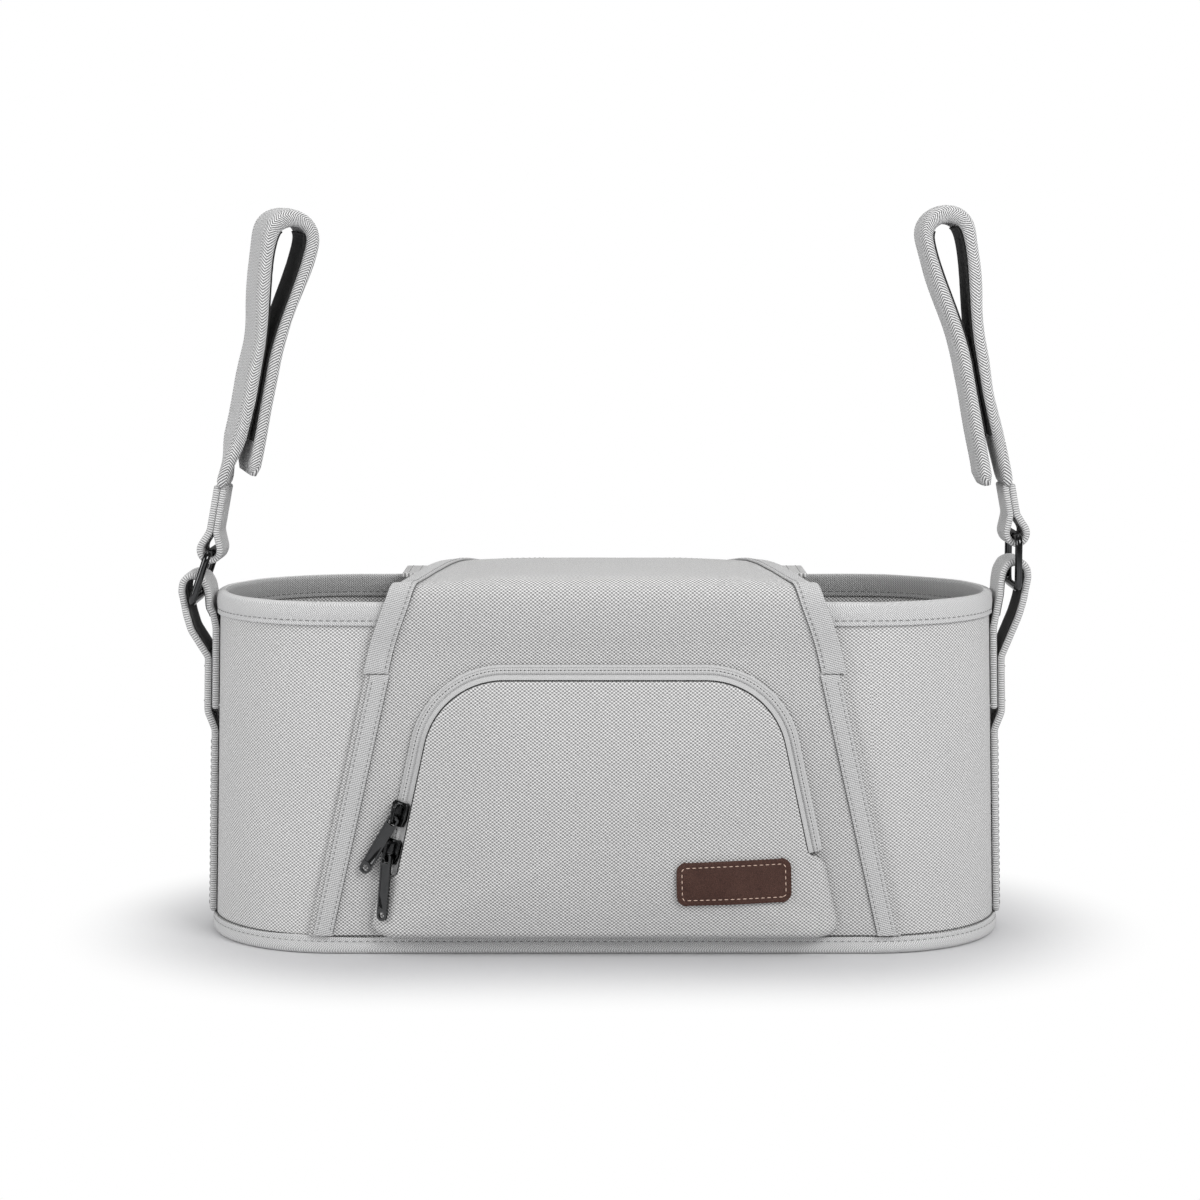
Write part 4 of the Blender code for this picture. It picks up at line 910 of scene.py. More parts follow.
panel_rows = []
for s in even(0.0, PANEL_END, 70):
    half = panel_half_width(s)
    panel_rows.append([panel_place(s, x, panel_wave(s, x)) for x in even(-half, half, 44)])
panel = add_piece("panel_cloth_front", lay(panel_rows), PANEL_CLOTH, ply=PANEL_T - 0.0001,
                  rounding=0.0005, replaces=["centre_panel"])
declare_sheet(panel_rows)

# %% [markdown]
# ## Tapes on the panel's edges
# Below the flap a flat tape is sewn down along both edges with two rows of stitches. Where
# the flap begins, the tape becomes a binding that wraps the panel's edge, and a row of dark
# stitches marks that change. Both are thin strips laid on the panel with a puffed section.

# %% Front tapes and flap bindings
TAPE_T = 0.0009
TAPE_WIDTH = 0.0083
TAPE_MARGIN = 0.0022
BINDING_WIDTH = 0.0102
BINDING_OUT = 0.0004
TAPE_SEAMS = (0.16, 0.84)


def tape_lift(t, grooves):
    """How high a tape stands over the panel, a share t of the way across it."""
    sunk = sum(0.00022 * hump(t, groove, 0.055) for groove in grooves)
    return PANEL_T / 2 + 0.0002 + TAPE_T / 2 + 0.0002 * (1 - (2 * t - 1) ** 4) - sunk


def rim_under(s):
    """How far a flap binding reaches in under the flap: nothing while the panel lies on the tub."""
    return 0.0066 * ease((s - TACK_S - 0.052) / 0.012)


for name, side in SIDES:
    rows = []
    for s in even(0.0, TACK_S - 0.0002, 44):
        outer = panel_half_width(s) - TAPE_MARGIN
        rows.append([panel_place(s, side * (outer - TAPE_WIDTH * (1 - t)), tape_lift(t, TAPE_SEAMS))
                     for t in even(0, 1, 14)])
    add_piece(name + "_front_tape_cloth", lay(rows), FLAP_TAPE, ply=TAPE_T,
              rounding=0.0002, replaces=[name + "_front_tape"])
    rows = []
    for s in even(TACK_S + 0.0002, PANEL_END, 48):
        outer = panel_half_width(s) + BINDING_OUT
        top = [(outer - BINDING_WIDTH * (1 - t), tape_lift(t, TAPE_SEAMS[:1])) for t in even(0, 0.94, 12)]
        edge_height = top[-1][1]
        low = -(edge_height - 0.0003) if rim_under(s) > 0 else -0.0006
        fold = [(outer + 0.0004 * math.cos(a), lerp(low, edge_height, 0.5 + 0.5 * math.sin(a)))
                for a in even(math.pi / 2.6, -math.pi / 2.6, 4)]
        under = [(outer - 0.0002 - rim_under(s) * t, low) for t in (0.0, 0.5, 1.0)]
        rows.append([panel_place(s, side * x, lift) for x, lift in top + fold + under])
    add_piece(name + "_flap_tape", lay(rows), FLAP_TAPE, ply=0.0007,
              rounding=0.0002, replaces=[name + "_flap_binding"])

# %% Stitches of the tapes, the tack and the magnets


def panel_run(s_list, x_of, lift):
    """A seam over the panel, from its places along and a rule for its place across."""
    return [(panel_place(s, x_of(s), lift), panel_out(s, x_of(s))) for s in s_list]


def edge_run(side, start, end, steps, inward, lift):
    """A seam along one edge of the panel, this far in from it."""
    return panel_run(even(start, end, steps), lambda s: side * (panel_half_width(s) - inward), lift)


STITCH_LIFT = PANEL_T / 2 + 0.00125
EDGE_LIFT = PANEL_T / 2 + 0.0002
MAGNET_X, MAGNET_IN, MAGNET_SEAM = 0.038, 0.014, 0.0110
tape_runs, flap_runs, tack_runs, edge_runs, magnet_runs = [], [], [], [], []
for side in (-1, 1):
    for t in TAPE_SEAMS:
        tape_runs.append(edge_run(side, 0.002, TACK_S - 0.002, 60, TAPE_MARGIN + TAPE_WIDTH * (1 - t),
                                  STITCH_LIFT - 0.0001))
    flap_runs.append(edge_run(side, TACK_S + 0.002, PANEL_END - 0.001, 80,
                              BINDING_WIDTH * TAPE_SEAMS[1] - BINDING_OUT, STITCH_LIFT))
    edge_runs.append(edge_run(side, 0.001, TACK_S - 0.001, 60, TAPE_MARGIN + TAPE_WIDTH + 0.0001,
                              EDGE_LIFT))
    edge_runs.append(edge_run(side, TACK_S + 0.001, PANEL_END - 0.002, 80, BINDING_WIDTH - 0.0003,
                              EDGE_LIFT))
    near, far = [side * (panel_half_width(TACK_S) - inward) for inward in (0.0095, 0.0008)]
    tack_runs.append([(panel_place(TACK_S, x, STITCH_LIFT), panel_out(TACK_S, x))
                      for x in even(near, far, 8)])
    ring = []
    for a in even(0, 2 * math.pi, 40):
        s = PANEL_END - MAGNET_IN + MAGNET_SEAM * math.sin(a)
        x = side * MAGNET_X + MAGNET_SEAM * math.cos(a)
        ring.append((panel_place(s, x, PANEL_T / 2 + panel_wave(s, x) - 0.0001), panel_out(s, x)))
    magnet_runs.append(ring)
sew("tape_stitches", tape_runs, *FINE_STITCH, width=0.0004)
sew("flap_stitches", flap_runs, *FINE_STITCH, width=0.0004)
sew("tack_stitches", tack_runs, 0.0019, 0.0012, DARK_THREAD_AND_PAINTED_SHADOW)
sew("tape_edge_shadow_thread", edge_runs, 0.0011, 0.0013, DARK_THREAD_AND_PAINTED_SHADOW, width=0.0006, height=0.0004)
sew("magnet_stitches", magnet_runs, 0.0028, 0.0020, DARK_THREAD_AND_PAINTED_SHADOW, slot="cloth")

# %% [markdown]
# ## The rear flap
# A wider flap comes over the rear rim and lies under the front one, with two flat magnets
# between them that hold the bag shut.

# %% Rear flap and magnets
REAR_T = 0.0022
REAR_HALF = 0.0945


def rear_path():
    """(y, z) points up the rear wall, over the rim and forward under the flap."""
    on_wall = HALF_DEPTH + GAP + REAR_T / 2
    on_rim = on_wall + 0.0015
    top = RIM_Z + GAP + 0.0010 + 0.0032
    path = [(on_wall, 0.108), (on_wall, RIM_Z - 0.0162), (on_rim, RIM_Z - RIM_BAND)]
    path += [(on_rim - 0.0043 * (1 - math.cos(a)), top - 0.0043 + 0.0043 * math.sin(a))
             for a in even(0, math.pi / 2, 6)]
    return path + [(0.022, top)]


rear_line = soften([[Vector((0.0, y, z))] for y, z in rear_path()], 0.002, 2)
rear_rows = []
for row in rear_line:
    rear_rows.append([Vector((x, row[0].y, row[0].z)) for x in even(REAR_HALF, -REAR_HALF, 30)])
rear = add_piece("rear_flap_cloth", lay(rear_rows), PANEL_CLOTH, ply=REAR_T, rounding=0.0005,
                 replaces=["rear_flap"])
declare_sheet(rear_rows)
rear_outs = []
for before, after in zip(rear_line, rear_line[1:]):
    run = after[0] - before[0]
    rear_outs.append(Vector((0, run.z, -run.y)).normalized())
rear_seams = []
for inset in (0.003, 0.0075):
    for side in (-1, 1):
        x = side * (REAR_HALF - inset)
        rear_seams.append([(Vector((x, row[0].y, row[0].z)) + out * REAR_T / 2, out)
                           for row, out in zip(rear_line, rear_outs)])
sew("rear_flap_stitches", rear_seams, 0.0031, 0.0023, STITCH_THREAD_AND_HOLE_SHADE, slot="cloth")
for name, _ in SIDES:
    refinish(name + "_flap_magnet", STEEL)

# %% [markdown]
# ## The zip pocket
# The pocket's outline runs up its left side, round an arch and down its right side. Stations
# along that outline know the way in, and a leaning band between the panel and the bulging
# face carries the zipper. The face itself is a set of rings that climb to a shallow dome; a
# subdivision surface then makes them flow. Real cloth also creases a little where it is
# tucked under at the bottom, so soft folds are pressed in there.

# %% Stations of the outline
SIDE_ANGLE = math.radians(12.2)
FOOT_HALF = 0.104
FOOT_Z = HEM_BAND + 0.002
ARCH_Z = 0.130
ARCH_RADIUS = 0.042
OUT_X, OUT_Z = math.cos(SIDE_ANGLE), math.sin(SIDE_ANGLE)
ARCH_CENTRE_Z = ARCH_Z - ARCH_RADIUS
ARCH_CENTRE_X = FOOT_HALF - (ARCH_RADIUS + (ARCH_CENTRE_Z - FOOT_Z) * OUT_Z) / OUT_X
SIDE_TOP_Z = ARCH_CENTRE_Z + ARCH_RADIUS * OUT_Z
ZIP_LEFT_Z, ZIP_RIGHT_Z = 0.038, 0.048
ZIP_LEAN = math.radians(32.6)
ZIP_LIFT = 0.00075


def outline_stations(left_heights, right_heights, arch_steps=26, top_steps=22):
    """Pairs of a place (x, z) on the outline and the direction into the pocket there."""
    stations = []
    sweep = math.pi / 2 - SIDE_ANGLE
    for side, heights in ((-1, left_heights), (1, right_heights)):
        straight = [(Vector((side * (FOOT_HALF - (z - FOOT_Z) * math.tan(SIDE_ANGLE)), z)),
                     Vector((-side * OUT_X, -OUT_Z))) for z in heights]
        arch = []
        for a in even(SIDE_ANGLE, SIDE_ANGLE + sweep, arch_steps):
            out = Vector((side * math.cos(a), math.sin(a)))
            arch.append((Vector((side * ARCH_CENTRE_X, ARCH_CENTRE_Z)) + out * ARCH_RADIUS, -out))
        if side < 0:
            stations += straight + arch
            stations += [(Vector((x, ARCH_Z)), Vector((0.0, -1.0)))
                         for x in even(-ARCH_CENTRE_X, ARCH_CENTRE_X, top_steps)[1:-1]]
        else:
            stations += arch[::-1] + straight
    return stations


def band_place(station, s, b):
    """A point on the leaning band: s up the band from the outline and b out from it."""
    inward = s * math.cos(ZIP_LEAN) - b * math.sin(ZIP_LEAN)
    out = ZIP_LIFT + s * math.sin(ZIP_LEAN) + b * math.cos(ZIP_LEAN)
    spot = station[0] + station[1] * inward
    return Vector((spot.x, FRONT_FACE_Y - out, spot.y))


def band_normal(station):
    """The direction out of the leaning band."""
    return (band_place(station, 0.003, 0.002) - band_place(station, 0.003, 0.0)).normalized()


ZIP_STATIONS = outline_stations(even(ZIP_LEFT_Z, SIDE_TOP_Z, 26)[:-1],
                                even(SIDE_TOP_Z, ZIP_RIGHT_Z, 22)[1:])
CHAIN_S = 0.0033
zip_line = [band_place(station, CHAIN_S, 0) for station in ZIP_STATIONS]
print("zip length", round(1000 * row_lengths(zip_line)[-1]), "mm")

# %% The zipper
CHAIN_B = 0.0012


def zip_strip(start, end, profile, steps):
    """A strip along the zipper, with a height rule across it."""
    return [[band_place(station, lerp(start, end, t), profile(t)) for t in even(0, 1, steps)]
            for station in ZIP_STATIONS]


def outer_ribs(t):
    """Three fine ribs along the tape's sewn edge."""
    return 0.0001 + 0.00022 * abs(math.sin(3 * math.pi * t))


def coil_ridges(t):
    """Two coils side by side with a groove between them."""
    return (CHAIN_B - 0.0003 + 0.00025 * abs(math.sin(2 * math.pi * t)) - 0.0003 * hump(t, 0.5, 0.07)
            - 0.0006 * (2 * t - 1) ** 8)


def flat_tape(t):
    """The tape's even face, which runs in under the pocket's edge."""
    return 0.00005


def zip_seam(s, b):
    """A seam along the zipper: s up the band and b out from it."""
    return [(band_place(station, s, b), band_normal(station)) for station in ZIP_STATIONS]


for name, start, end, profile, steps, material, ply, solid in (
        ("zip_outer_tape", 0.0002, 0.0026, outer_ribs, 12, ZIP_TAPE, 0.0006, "zipper_outer_tape"),
        ("zip_coil_bed", 0.0020, 0.0046, coil_ridges, 12, ZIP_BED, 0.0007, "zipper_chain"),
        ("zip_inner_tape", 0.0040, 0.0100, flat_tape, 8, ZIP_TAPE, 0.0006, "zipper_inner_tape")):
    add_piece(name, lay(zip_strip(start, end, profile, steps)), material, ply=ply,
              rounding=0.0001, replaces=[solid])
for name, s, b, pitch, length, thread, width, height in (
        ("zip_teeth", CHAIN_S, CHAIN_B - 0.0001, 0.00175, 0.00115, BLACK_THREAD, 0.0011, 0.0009),
        ("zip_outer_seam", 0.0017, 0.0006, 0.0010, 0.0012, DARK_THREAD_AND_PAINTED_SHADOW, 0.00035, 0.0004),
        ("zip_face_seam", 0.0079, 0.0006, 0.0009, 0.0012, BLACK_THREAD, 0.0008, 0.0007)):
    sew(name, [zip_seam(s, b)], pitch, length, thread, slot="zip_chain", width=width, height=height)

# %% The pocket's face
FACE_T = 0.0012
FACE_B = 0.00155
POCKET_DEPTH = 0.0155
CROWN = Vector((0.0, 0.055))
EDGE_AT_ZIP = ((0.0092, FACE_B), (0.0100, FACE_B + 0.00005), (0.0110, 0.0012))
EDGE_BELOW_ZIP = ((0.0006, 0.00035), (0.0050, 0.0007), (0.0110, 0.0011))
EDGE_AT_FOOT = ((0.0, 0.0011), (-0.0008, 0.0050), (0.0010, 0.0090))
DOME_SHARES = (0.97, 0.92, 0.85, 0.77, 0.68, 0.58, 0.48, 0.38, 0.28, 0.18, 0.08)
PATCH_X, PATCH_Z = 0.0565, 0.0357
# Each tuck's place (x, z), its turn, its length and its depth
TUCKS = ((-0.092, 0.020, 0.7, 0.010, 0.0007), (-0.066, 0.018, 1.2, 0.009, 0.0005),
         (-0.030, 0.019, 1.9, 0.010, 0.0005), (0.018, 0.018, 1.3, 0.009, 0.0005),
         (0.090, 0.021, 2.3, 0.010, 0.0006))
TUCK_WIDTH = 0.0016


def face_ring(level):
    """One of the three edge rings of the face: the seam, the flank and the dome's edge."""
    low = FOOT_Z + 0.004
    ring = []
    for station in outline_stations(even(low, SIDE_TOP_Z, 34)[:-1], even(SIDE_TOP_Z, low, 34)[1:]):
        zip_end = ZIP_LEFT_Z if station[0].x < 0 else ZIP_RIGHT_Z
        at_zip = ease((station[0].y - zip_end + 0.0035) / 0.003)
        s = lerp(EDGE_BELOW_ZIP[level][0], EDGE_AT_ZIP[level][0], at_zip)
        b = lerp(EDGE_BELOW_ZIP[level][1], EDGE_AT_ZIP[level][1], at_zip)
        ring.append(band_place(station, s, b))
    rise, out = EDGE_AT_FOOT[level]
    s, b = EDGE_BELOW_ZIP[level]
    half = FOOT_HALF - (s * math.cos(ZIP_LEAN) - b * math.sin(ZIP_LEAN))
    for share in even(0.97, -0.97, 44):
        corner = abs(share) ** 6 if level == 2 else 0.0
        ring.append(Vector((half * share, FRONT_FACE_Y - lerp(out, 0.0076, corner), FOOT_Z + rise)))
    return ring


DOME_EDGE = face_ring(2)


def dome_out(edge_out, share):
    """How far out the dome stands, from its edge at share 1 to its crown at share 0."""
    return edge_out + (POCKET_DEPTH - edge_out) * (1 - share * share)


def pocket_fold(x, z):
    """Soft unevenness of the face and the tucks above its foot, in metres outward."""
    inside = ease((z - 0.014) / 0.010) * ease((0.108 - z) / 0.02) * ease((0.085 - abs(x)) / 0.02)
    patch = 1 - math.exp(-(((x - PATCH_X) / 0.034) ** 4 + ((z - PATCH_Z) / 0.017) ** 4))
    broad = noise.noise(Vector((x * 17, z * 24, 5.0))) + 0.5 * noise.noise(Vector((x * 40, z * 46, 1.0)))
    fold = 0.0009 * broad * inside * patch
    for fx, fz, turn, length, depth in TUCKS:
        run = (x - fx) * math.cos(turn) + (z - fz) * math.sin(turn)
        off = -(x - fx) * math.sin(turn) + (z - fz) * math.cos(turn)
        fold -= depth * math.exp(-(run / length) ** 2 - (off / TUCK_WIDTH) ** 2)
    return fold


def dome_y(x, z):
    """The middle of the face in front of any place inside the dome's edge."""
    ray = Vector((x, z)) - CROWN
    for start, end in zip(DOME_EDGE, DOME_EDGE[1:] + DOME_EDGE[:1]):
        first = Vector((start.x, start.z)) - CROWN
        last = Vector((end.x, end.z)) - CROWN
        turn = first.cross(last)
        if turn == 0:
            continue
        from_first, from_last = first.cross(ray) / turn, ray.cross(last) / turn
        if from_first >= 0 and from_last >= 0:
            edge_y = lerp(start.y, end.y, from_first / max(from_first + from_last, 1e-9))
            return FRONT_FACE_Y - dome_out(FRONT_FACE_Y - edge_y, from_first + from_last)
    return FRONT_FACE_Y - POCKET_DEPTH


face_rings = [face_ring(level) for level in range(3)]
for share in DOME_SHARES:
    ring = []
    for edge in DOME_EDGE:
        x, z = lerp(CROWN.x, edge.x, share), lerp(CROWN.y, edge.z, share)
        out = dome_out(FRONT_FACE_Y - edge.y, share)
        ring.append(Vector((x, FRONT_FACE_Y - out - pocket_fold(x, z), z)))
    face_rings.append(ring)
face_rings.append([Vector((CROWN.x, FRONT_FACE_Y - POCKET_DEPTH, CROWN.y))] * len(DOME_EDGE))
face = add_piece("pocket_cloth", lay(face_rings, closed=True, flat=(0, 2)), PANEL_CLOTH,
                 ply=FACE_T, smooth=1, replaces=["pocket_face"])

# %% [markdown]
# ## The leather patch
# A small blank patch of brown leather is sewn to the pocket. It is laid as a grid whose rows
# shorten at the rounded corners, pressed onto the dome, and sunk along its stitch line.

# %% Patch
PATCH_HALF = Vector((0.025, 0.0095))
PATCH_CORNER = 0.004
PATCH_PLACE = Vector((PATCH_X, PATCH_Z))
PATCH_TURN = Matrix.Rotation(math.radians(1.4), 2)
PATCH_T = 0.0015
PATCH_SEAM = 0.0022


def patch_reach(y, shrink=0.0):
    """Half the patch's length at a height y, inside its rounded corners."""
    radius = PATCH_CORNER - shrink
    over = max(0.0, abs(y) - (PATCH_HALF.y - PATCH_CORNER))
    return PATCH_HALF.x - shrink - radius + math.sqrt(max(0.0, radius * radius - over * over))


def patch_spot(x, y, lift):
    """A place on the patch, laid on the dome."""
    place = PATCH_TURN @ Vector((x, y)) + PATCH_PLACE
    return Vector((place.x, dome_y(place.x, place.y) - lift, place.y))


def edged(close, inner, steps):
    """Shares from -1 to 1 that lie closer together near both ends."""
    return [-share for share in close] + even(-inner, inner, steps) + close[::-1]


PATCH_LIFT = FACE_T / 2 + 0.0002 + PATCH_T / 2
patch_rows = []
for t in edged([1, 0.97, 0.92, 0.86, 0.78, 0.7], 0.6, 10):
    y = t * PATCH_HALF.y
    reach = patch_reach(y)
    row = []
    for q in edged([1, 0.99, 0.97, 0.94, 0.91, 0.88], 0.84, 26):
        x = q * reach
        edge = min(PATCH_HALF.y - abs(y), patch_reach(y) - abs(x))
        press = -0.00022 * math.exp(-edge / 0.0007) - 0.00016 * hump(edge, PATCH_SEAM, 0.0005)
        row.append(patch_spot(x, y, PATCH_LIFT + press))
    patch_rows.append(row)
add_piece("leather_patch_hide", lay(patch_rows), HIDE, ply=PATCH_T,
          rounding=0.0003, replaces=["leather_patch"])
seam = []
inner_x, inner_y = PATCH_HALF.x - PATCH_SEAM, PATCH_HALF.y - PATCH_SEAM
corner = PATCH_CORNER - PATCH_SEAM
for sx, sy, start in ((1, -1, -90), (1, 1, 0), (-1, 1, 90), (-1, -1, 180)):
    for a in even(math.radians(start), math.radians(start + 90), 4):
        seam.append((sx * (inner_x - corner) + corner * math.cos(a),
                     sy * (inner_y - corner) + corner * math.sin(a)))
dense = []
for (x0, y0), (x1, y1) in zip(seam, seam[1:] + seam[:1]):
    pieces = max(1, round(math.hypot(x1 - x0, y1 - y0) / 0.002))
    dense += [(lerp(x0, x1, i / pieces), lerp(y0, y1, i / pieces)) for i in range(pieces)]
patch_run = [(patch_spot(x, y, PATCH_LIFT + PATCH_T / 2), Vector((0, -1, 0))) for x, y in dense]
sew("patch_stitches", [patch_run + patch_run[:1]], 0.0027, 0.0020, TAN_THREAD, slot="leather")

# %% [markdown]
# ## Metal parts
# The sliders and pulls already have their right shape as solids. A CAD mesh comes as loose
# triangles, so a copy is merged, its flat faces are joined again and a small bevel rounds the
# edges, because a real casting never has a knife edge and the highlight along it sells metal.

# %% Sliders and pulls


def polish(node, body, rounding):
    """A merged and bevelled copy of a solid, which stands for it."""
    bm = bmesh.new()
    bm.from_mesh(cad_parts[node].data)
    for layer in list(bm.loops.layers.uv.values()):
        bm.loops.layers.uv.remove(layer)
    bmesh.ops.remove_doubles(bm, verts=bm.verts, dist=0.00001)
    bmesh.ops.dissolve_limit(bm, angle_limit=math.radians(1.0), verts=bm.verts, edges=bm.edges)
    bmesh.ops.recalc_face_normals(bm, faces=bm.faces)
    piece = add_piece(node + "_metal", bm, GUNMETAL, body, rounding=rounding,
                      replaces=[node])
    piece.modifiers["Edge"].angle_limit = math.radians(28)
    piece.data.set_sharp_from_angle(angle=math.radians(40))
    print(piece.name, len(piece.data.polygons), "faces")


SLIDER_ROUNDING, PULL_ROUNDING = 0.00025, 0.00028
polish("upper_slider", "upper_slider", SLIDER_ROUNDING)
polish("lower_slider", "bag", SLIDER_ROUNDING)
polish("upper_pull", "upper_pull", PULL_ROUNDING)
polish("lower_pull", "lower_pull", PULL_ROUNDING)

# %% [markdown]
# ## Webbing, rings and straps
# At each end a strip of webbing is sewn up the wall, round the ring and down again. The ring
# is bent wire, so it is a round section carried round a rounded rectangle. A short loop of
# webbing joins it to the padded strap, which closes round the bar with hook-and-loop tape.

# %% End webbing
WEBBING_T = 0.0031
WEBBING_WIDTH = 0.026
RING_BAR_X = 0.1875
RING_BAR_Z = {"left": 0.1520, "right": 0.1585}
RING_WIRE = 0.0017
TAIL_TOP = 0.102
LOOP_FOOT = 0.1265
WEBBING_SEAM_Y = 0.0104
# The slack loop that the ring hangs in, out from the ring's bar and up from it
LOOP = ((0.0012, -0.0130), (0.0032, -0.0060), (0.0042, 0.0), (0.0052, 0.0045), (0.0047, 0.0085),
        (0.0026, 0.0113), (-0.0007, 0.0121), (-0.0043, 0.0107), (-0.0064, 0.0070),
        (-0.0072, 0.0025), (-0.0075, -0.0030))


def on_end(side, z, out, y):
    """A point out from the tub's round end."""
    radius = HALF_DEPTH + out
    return Vector((side * (half_length(z) - HALF_DEPTH + math.sqrt(radius * radius - y * y)), y, z))


def webbing_rows(side, bar_z, columns):
    """Rows up over the tail, round the ring's bar and down the wall as that tail."""
    under = GAP + WEBBING_T / 2
    double = under + WEBBING_T + GAP
    foot = HEM_BAND + 0.0005
    rows = [[on_end(side, z, out, y) for y in columns]
            for z, out in ((foot, under), (0.05, under), (TAIL_TOP - 0.009, under),
                           (TAIL_TOP - 0.0006, double), (LOOP_FOOT, double))]
    rows += [[Vector((side * (RING_BAR_X + out), y, bar_z + up)) for y in columns] for out, up in LOOP]
    rows += [[on_end(side, z, out, y) for y in columns]
             for z, out in ((RIM_Z - RIM_BAND, under + 0.0015), (RIM_Z - 0.0162, under),
                            (TAIL_TOP + 0.0006, under))]
    return soften(rows, 0.0012, 1)


def end_seam(side, places, out):
    """A seam on the tub's round end through (y, z) places, this far out."""
    return [(on_end(side, z, out, y),
             Vector((side * math.cos(y / HALF_DEPTH), math.sin(y / HALF_DEPTH), 0.0))) for y, z in places]


def shifted(rows, inward):
    """The same strip, this far in towards the middle of its loop."""
    made = []
    for before, row, after in zip(rows[:1] + rows[:-1], rows, rows[1:] + rows[-1:]):
        run = (after[0] - before[0]).normalized()
        out = Vector((run.z, 0.0, -run.x))
        made.append([p - out * inward for p in row])
    return made


for name, side in SIDES:
    bar_z = RING_BAR_Z[name]
    rows = webbing_rows(side, bar_z, even(-WEBBING_WIDTH / 2, WEBBING_WIDTH / 2, 12))
    web = add_piece(name + "_end_webbing_cloth", lay(rows), WEBBING, ply=WEBBING_T,
                    rounding=0.0013, replaces=[name + "_end_webbing"])
    declare_sheet(rows)
    # A near-black sheet inside each webbing loop is painted shade where the loop's inside gets little
    # light.
    loop_shade_rows = webbing_rows(side, bar_z, even(-0.0114, 0.0114, 8))
    loop_shade_rows = [row for row in loop_shade_rows if row[0].z > LOOP_FOOT and abs(row[0].x) > RIM_HALF_X + 0.0022]
    add_piece(name + "_loop_painted_shade", lay(shifted(loop_shade_rows, side * (WEBBING_T / 2 + 0.0002))), LOOP_PAINTED_SHADE,
              ply=0.0003)
    upright = [end_seam(side, [(y, z) for z in even(0.011, 0.090, 30)], WEBBING_T + GAP + 0.0001)
               for y in (-WEBBING_SEAM_Y, WEBBING_SEAM_Y)]
    across = [end_seam(side, [(y, z) for y in even(-WEBBING_SEAM_Y, WEBBING_SEAM_Y, 10)],
                       2 * WEBBING_T + 2 * GAP + 0.0001) for z in (0.106, 0.122)]
    sew(name + "_webbing_stitches", upright + across, 0.0030, 0.0022, STITCH_THREAD_AND_HOLE_SHADE)

# %% Rings


def ring_rows(half, height, corner, wire, steps=8, around=16):
    """Sections of round wire along a rounded rectangle that stands on its lower bar."""
    path = []
    for sy, sz, start in ((1, 0, -90), (1, 1, 0), (-1, 1, 90), (-1, 0, 180)):
        for a in even(math.radians(start), math.radians(start + 90), steps):
            centre = Vector((0.0, sy * (half - corner), corner if sz == 0 else height - corner))
            out = Vector((0.0, math.cos(a), math.sin(a)))
            path.append((centre + out * corner, out))
    path.append(path[0])
    return [[spot + out * (wire * math.cos(a)) + Vector((wire * math.sin(a), 0, 0))
             for a in even(0, 2 * math.pi, around)[:-1]] for spot, out in path]


LEFT_TILT = math.radians(19.0)
RING_HEIGHT = 0.0235
RING_TOPS = {}
for name, side, tilt in (("left", -1, LEFT_TILT), ("right", 1, 0.0)):
    bar = Matrix.Translation((side * RING_BAR_X, 0, RING_BAR_Z[name]))
    turn = bar @ Matrix.Rotation(-side * tilt, 4, "Y")
    rows = ring_rows(WEBBING_WIDTH / 2 + 0.0035, RING_HEIGHT, 0.004, RING_WIRE)
    bm = lay([[turn @ p for p in row] for row in rows], closed=True)
    bmesh.ops.recalc_face_normals(bm, faces=bm.faces)
    add_piece(name + "_ring_metal", bm, GUNMETAL, name + "_ring", replaces=[name + "_ring"])
    RING_TOPS[name] = turn @ Vector((0, 0, RING_HEIGHT))
print("ring tops", {name: tuple(round(c, 4) for c in top) for name, top in RING_TOPS.items()})

# %% Links
STRAP_LEAN = math.radians(10.5)
LINK_LENGTH = {"left": 0.0305, "right": 0.0235}
LINK_WIDTH = 0.0236
LINK_T = 0.0030


def strap_frame(name, side):
    """The strap's own frame: its origin on the ring's top bar, leaning towards the bag."""
    return Matrix.Translation(RING_TOPS[name]) @ Matrix.Rotation(-side * STRAP_LEAN, 4, "Y")


for name, side in SIDES:
    legs, foot = LINK_T / 2, LINK_LENGTH[name] + 0.0005
    path = [(legs, foot), (legs, 0.0098), (0.0031, 0.0058)]
    path += [(0.0046 * math.cos(a), 0.0014 - 0.0050 * math.sin(a)) for a in even(-0.3, math.pi + 0.3, 16)]
    path += [(-0.0031, 0.0058), (-legs, 0.0098), (-legs, foot)]
    place = strap_frame(name, side)
    rows = [[place @ Vector((side * x, y, z)) for y in even(-LINK_WIDTH / 2, LINK_WIDTH / 2, 8)]
            for x, z in path]
    rows = soften(rows, 0.0010, 1)
    add_piece(name + "_link_cloth", lay(rows), WEBBING, name + "_strap",
              ply=LINK_T, rounding=0.0012, replaces=[name + "_link"])

# %% The padded straps' line
STRAP_T = 0.0052
STRAP_WIDTH = 0.036
CLOSED_Z, BEND_Z, EYE_RADIUS = 0.060, 0.1165, 0.0098
CLOSED_HALF_GAP, CLOSED_X, BEND_X = 0.0040, 0.0064, 0.0086
TAIL_X = 0.0098
TAIL_Z = {"left": 0.008, "right": 0.002}
TAPE_Z = (0.024, 0.113)
TWIST_END = 0.024
TAPE_TOP = 0.1215
BEND_PADDING = 0.0022


def branch_centre(z):
    """The line midway between the strap's two branches."""
    return along(((0.0, CLOSED_X), (CLOSED_Z, CLOSED_X), (BEND_Z, BEND_X)), z)


def branch_gap(z):
    """Half the distance between the branches: closed below, an eye above."""
    return lerp(CLOSED_HALF_GAP, EYE_RADIUS, ease((z - CLOSED_Z) / (BEND_Z - CLOSED_Z)))


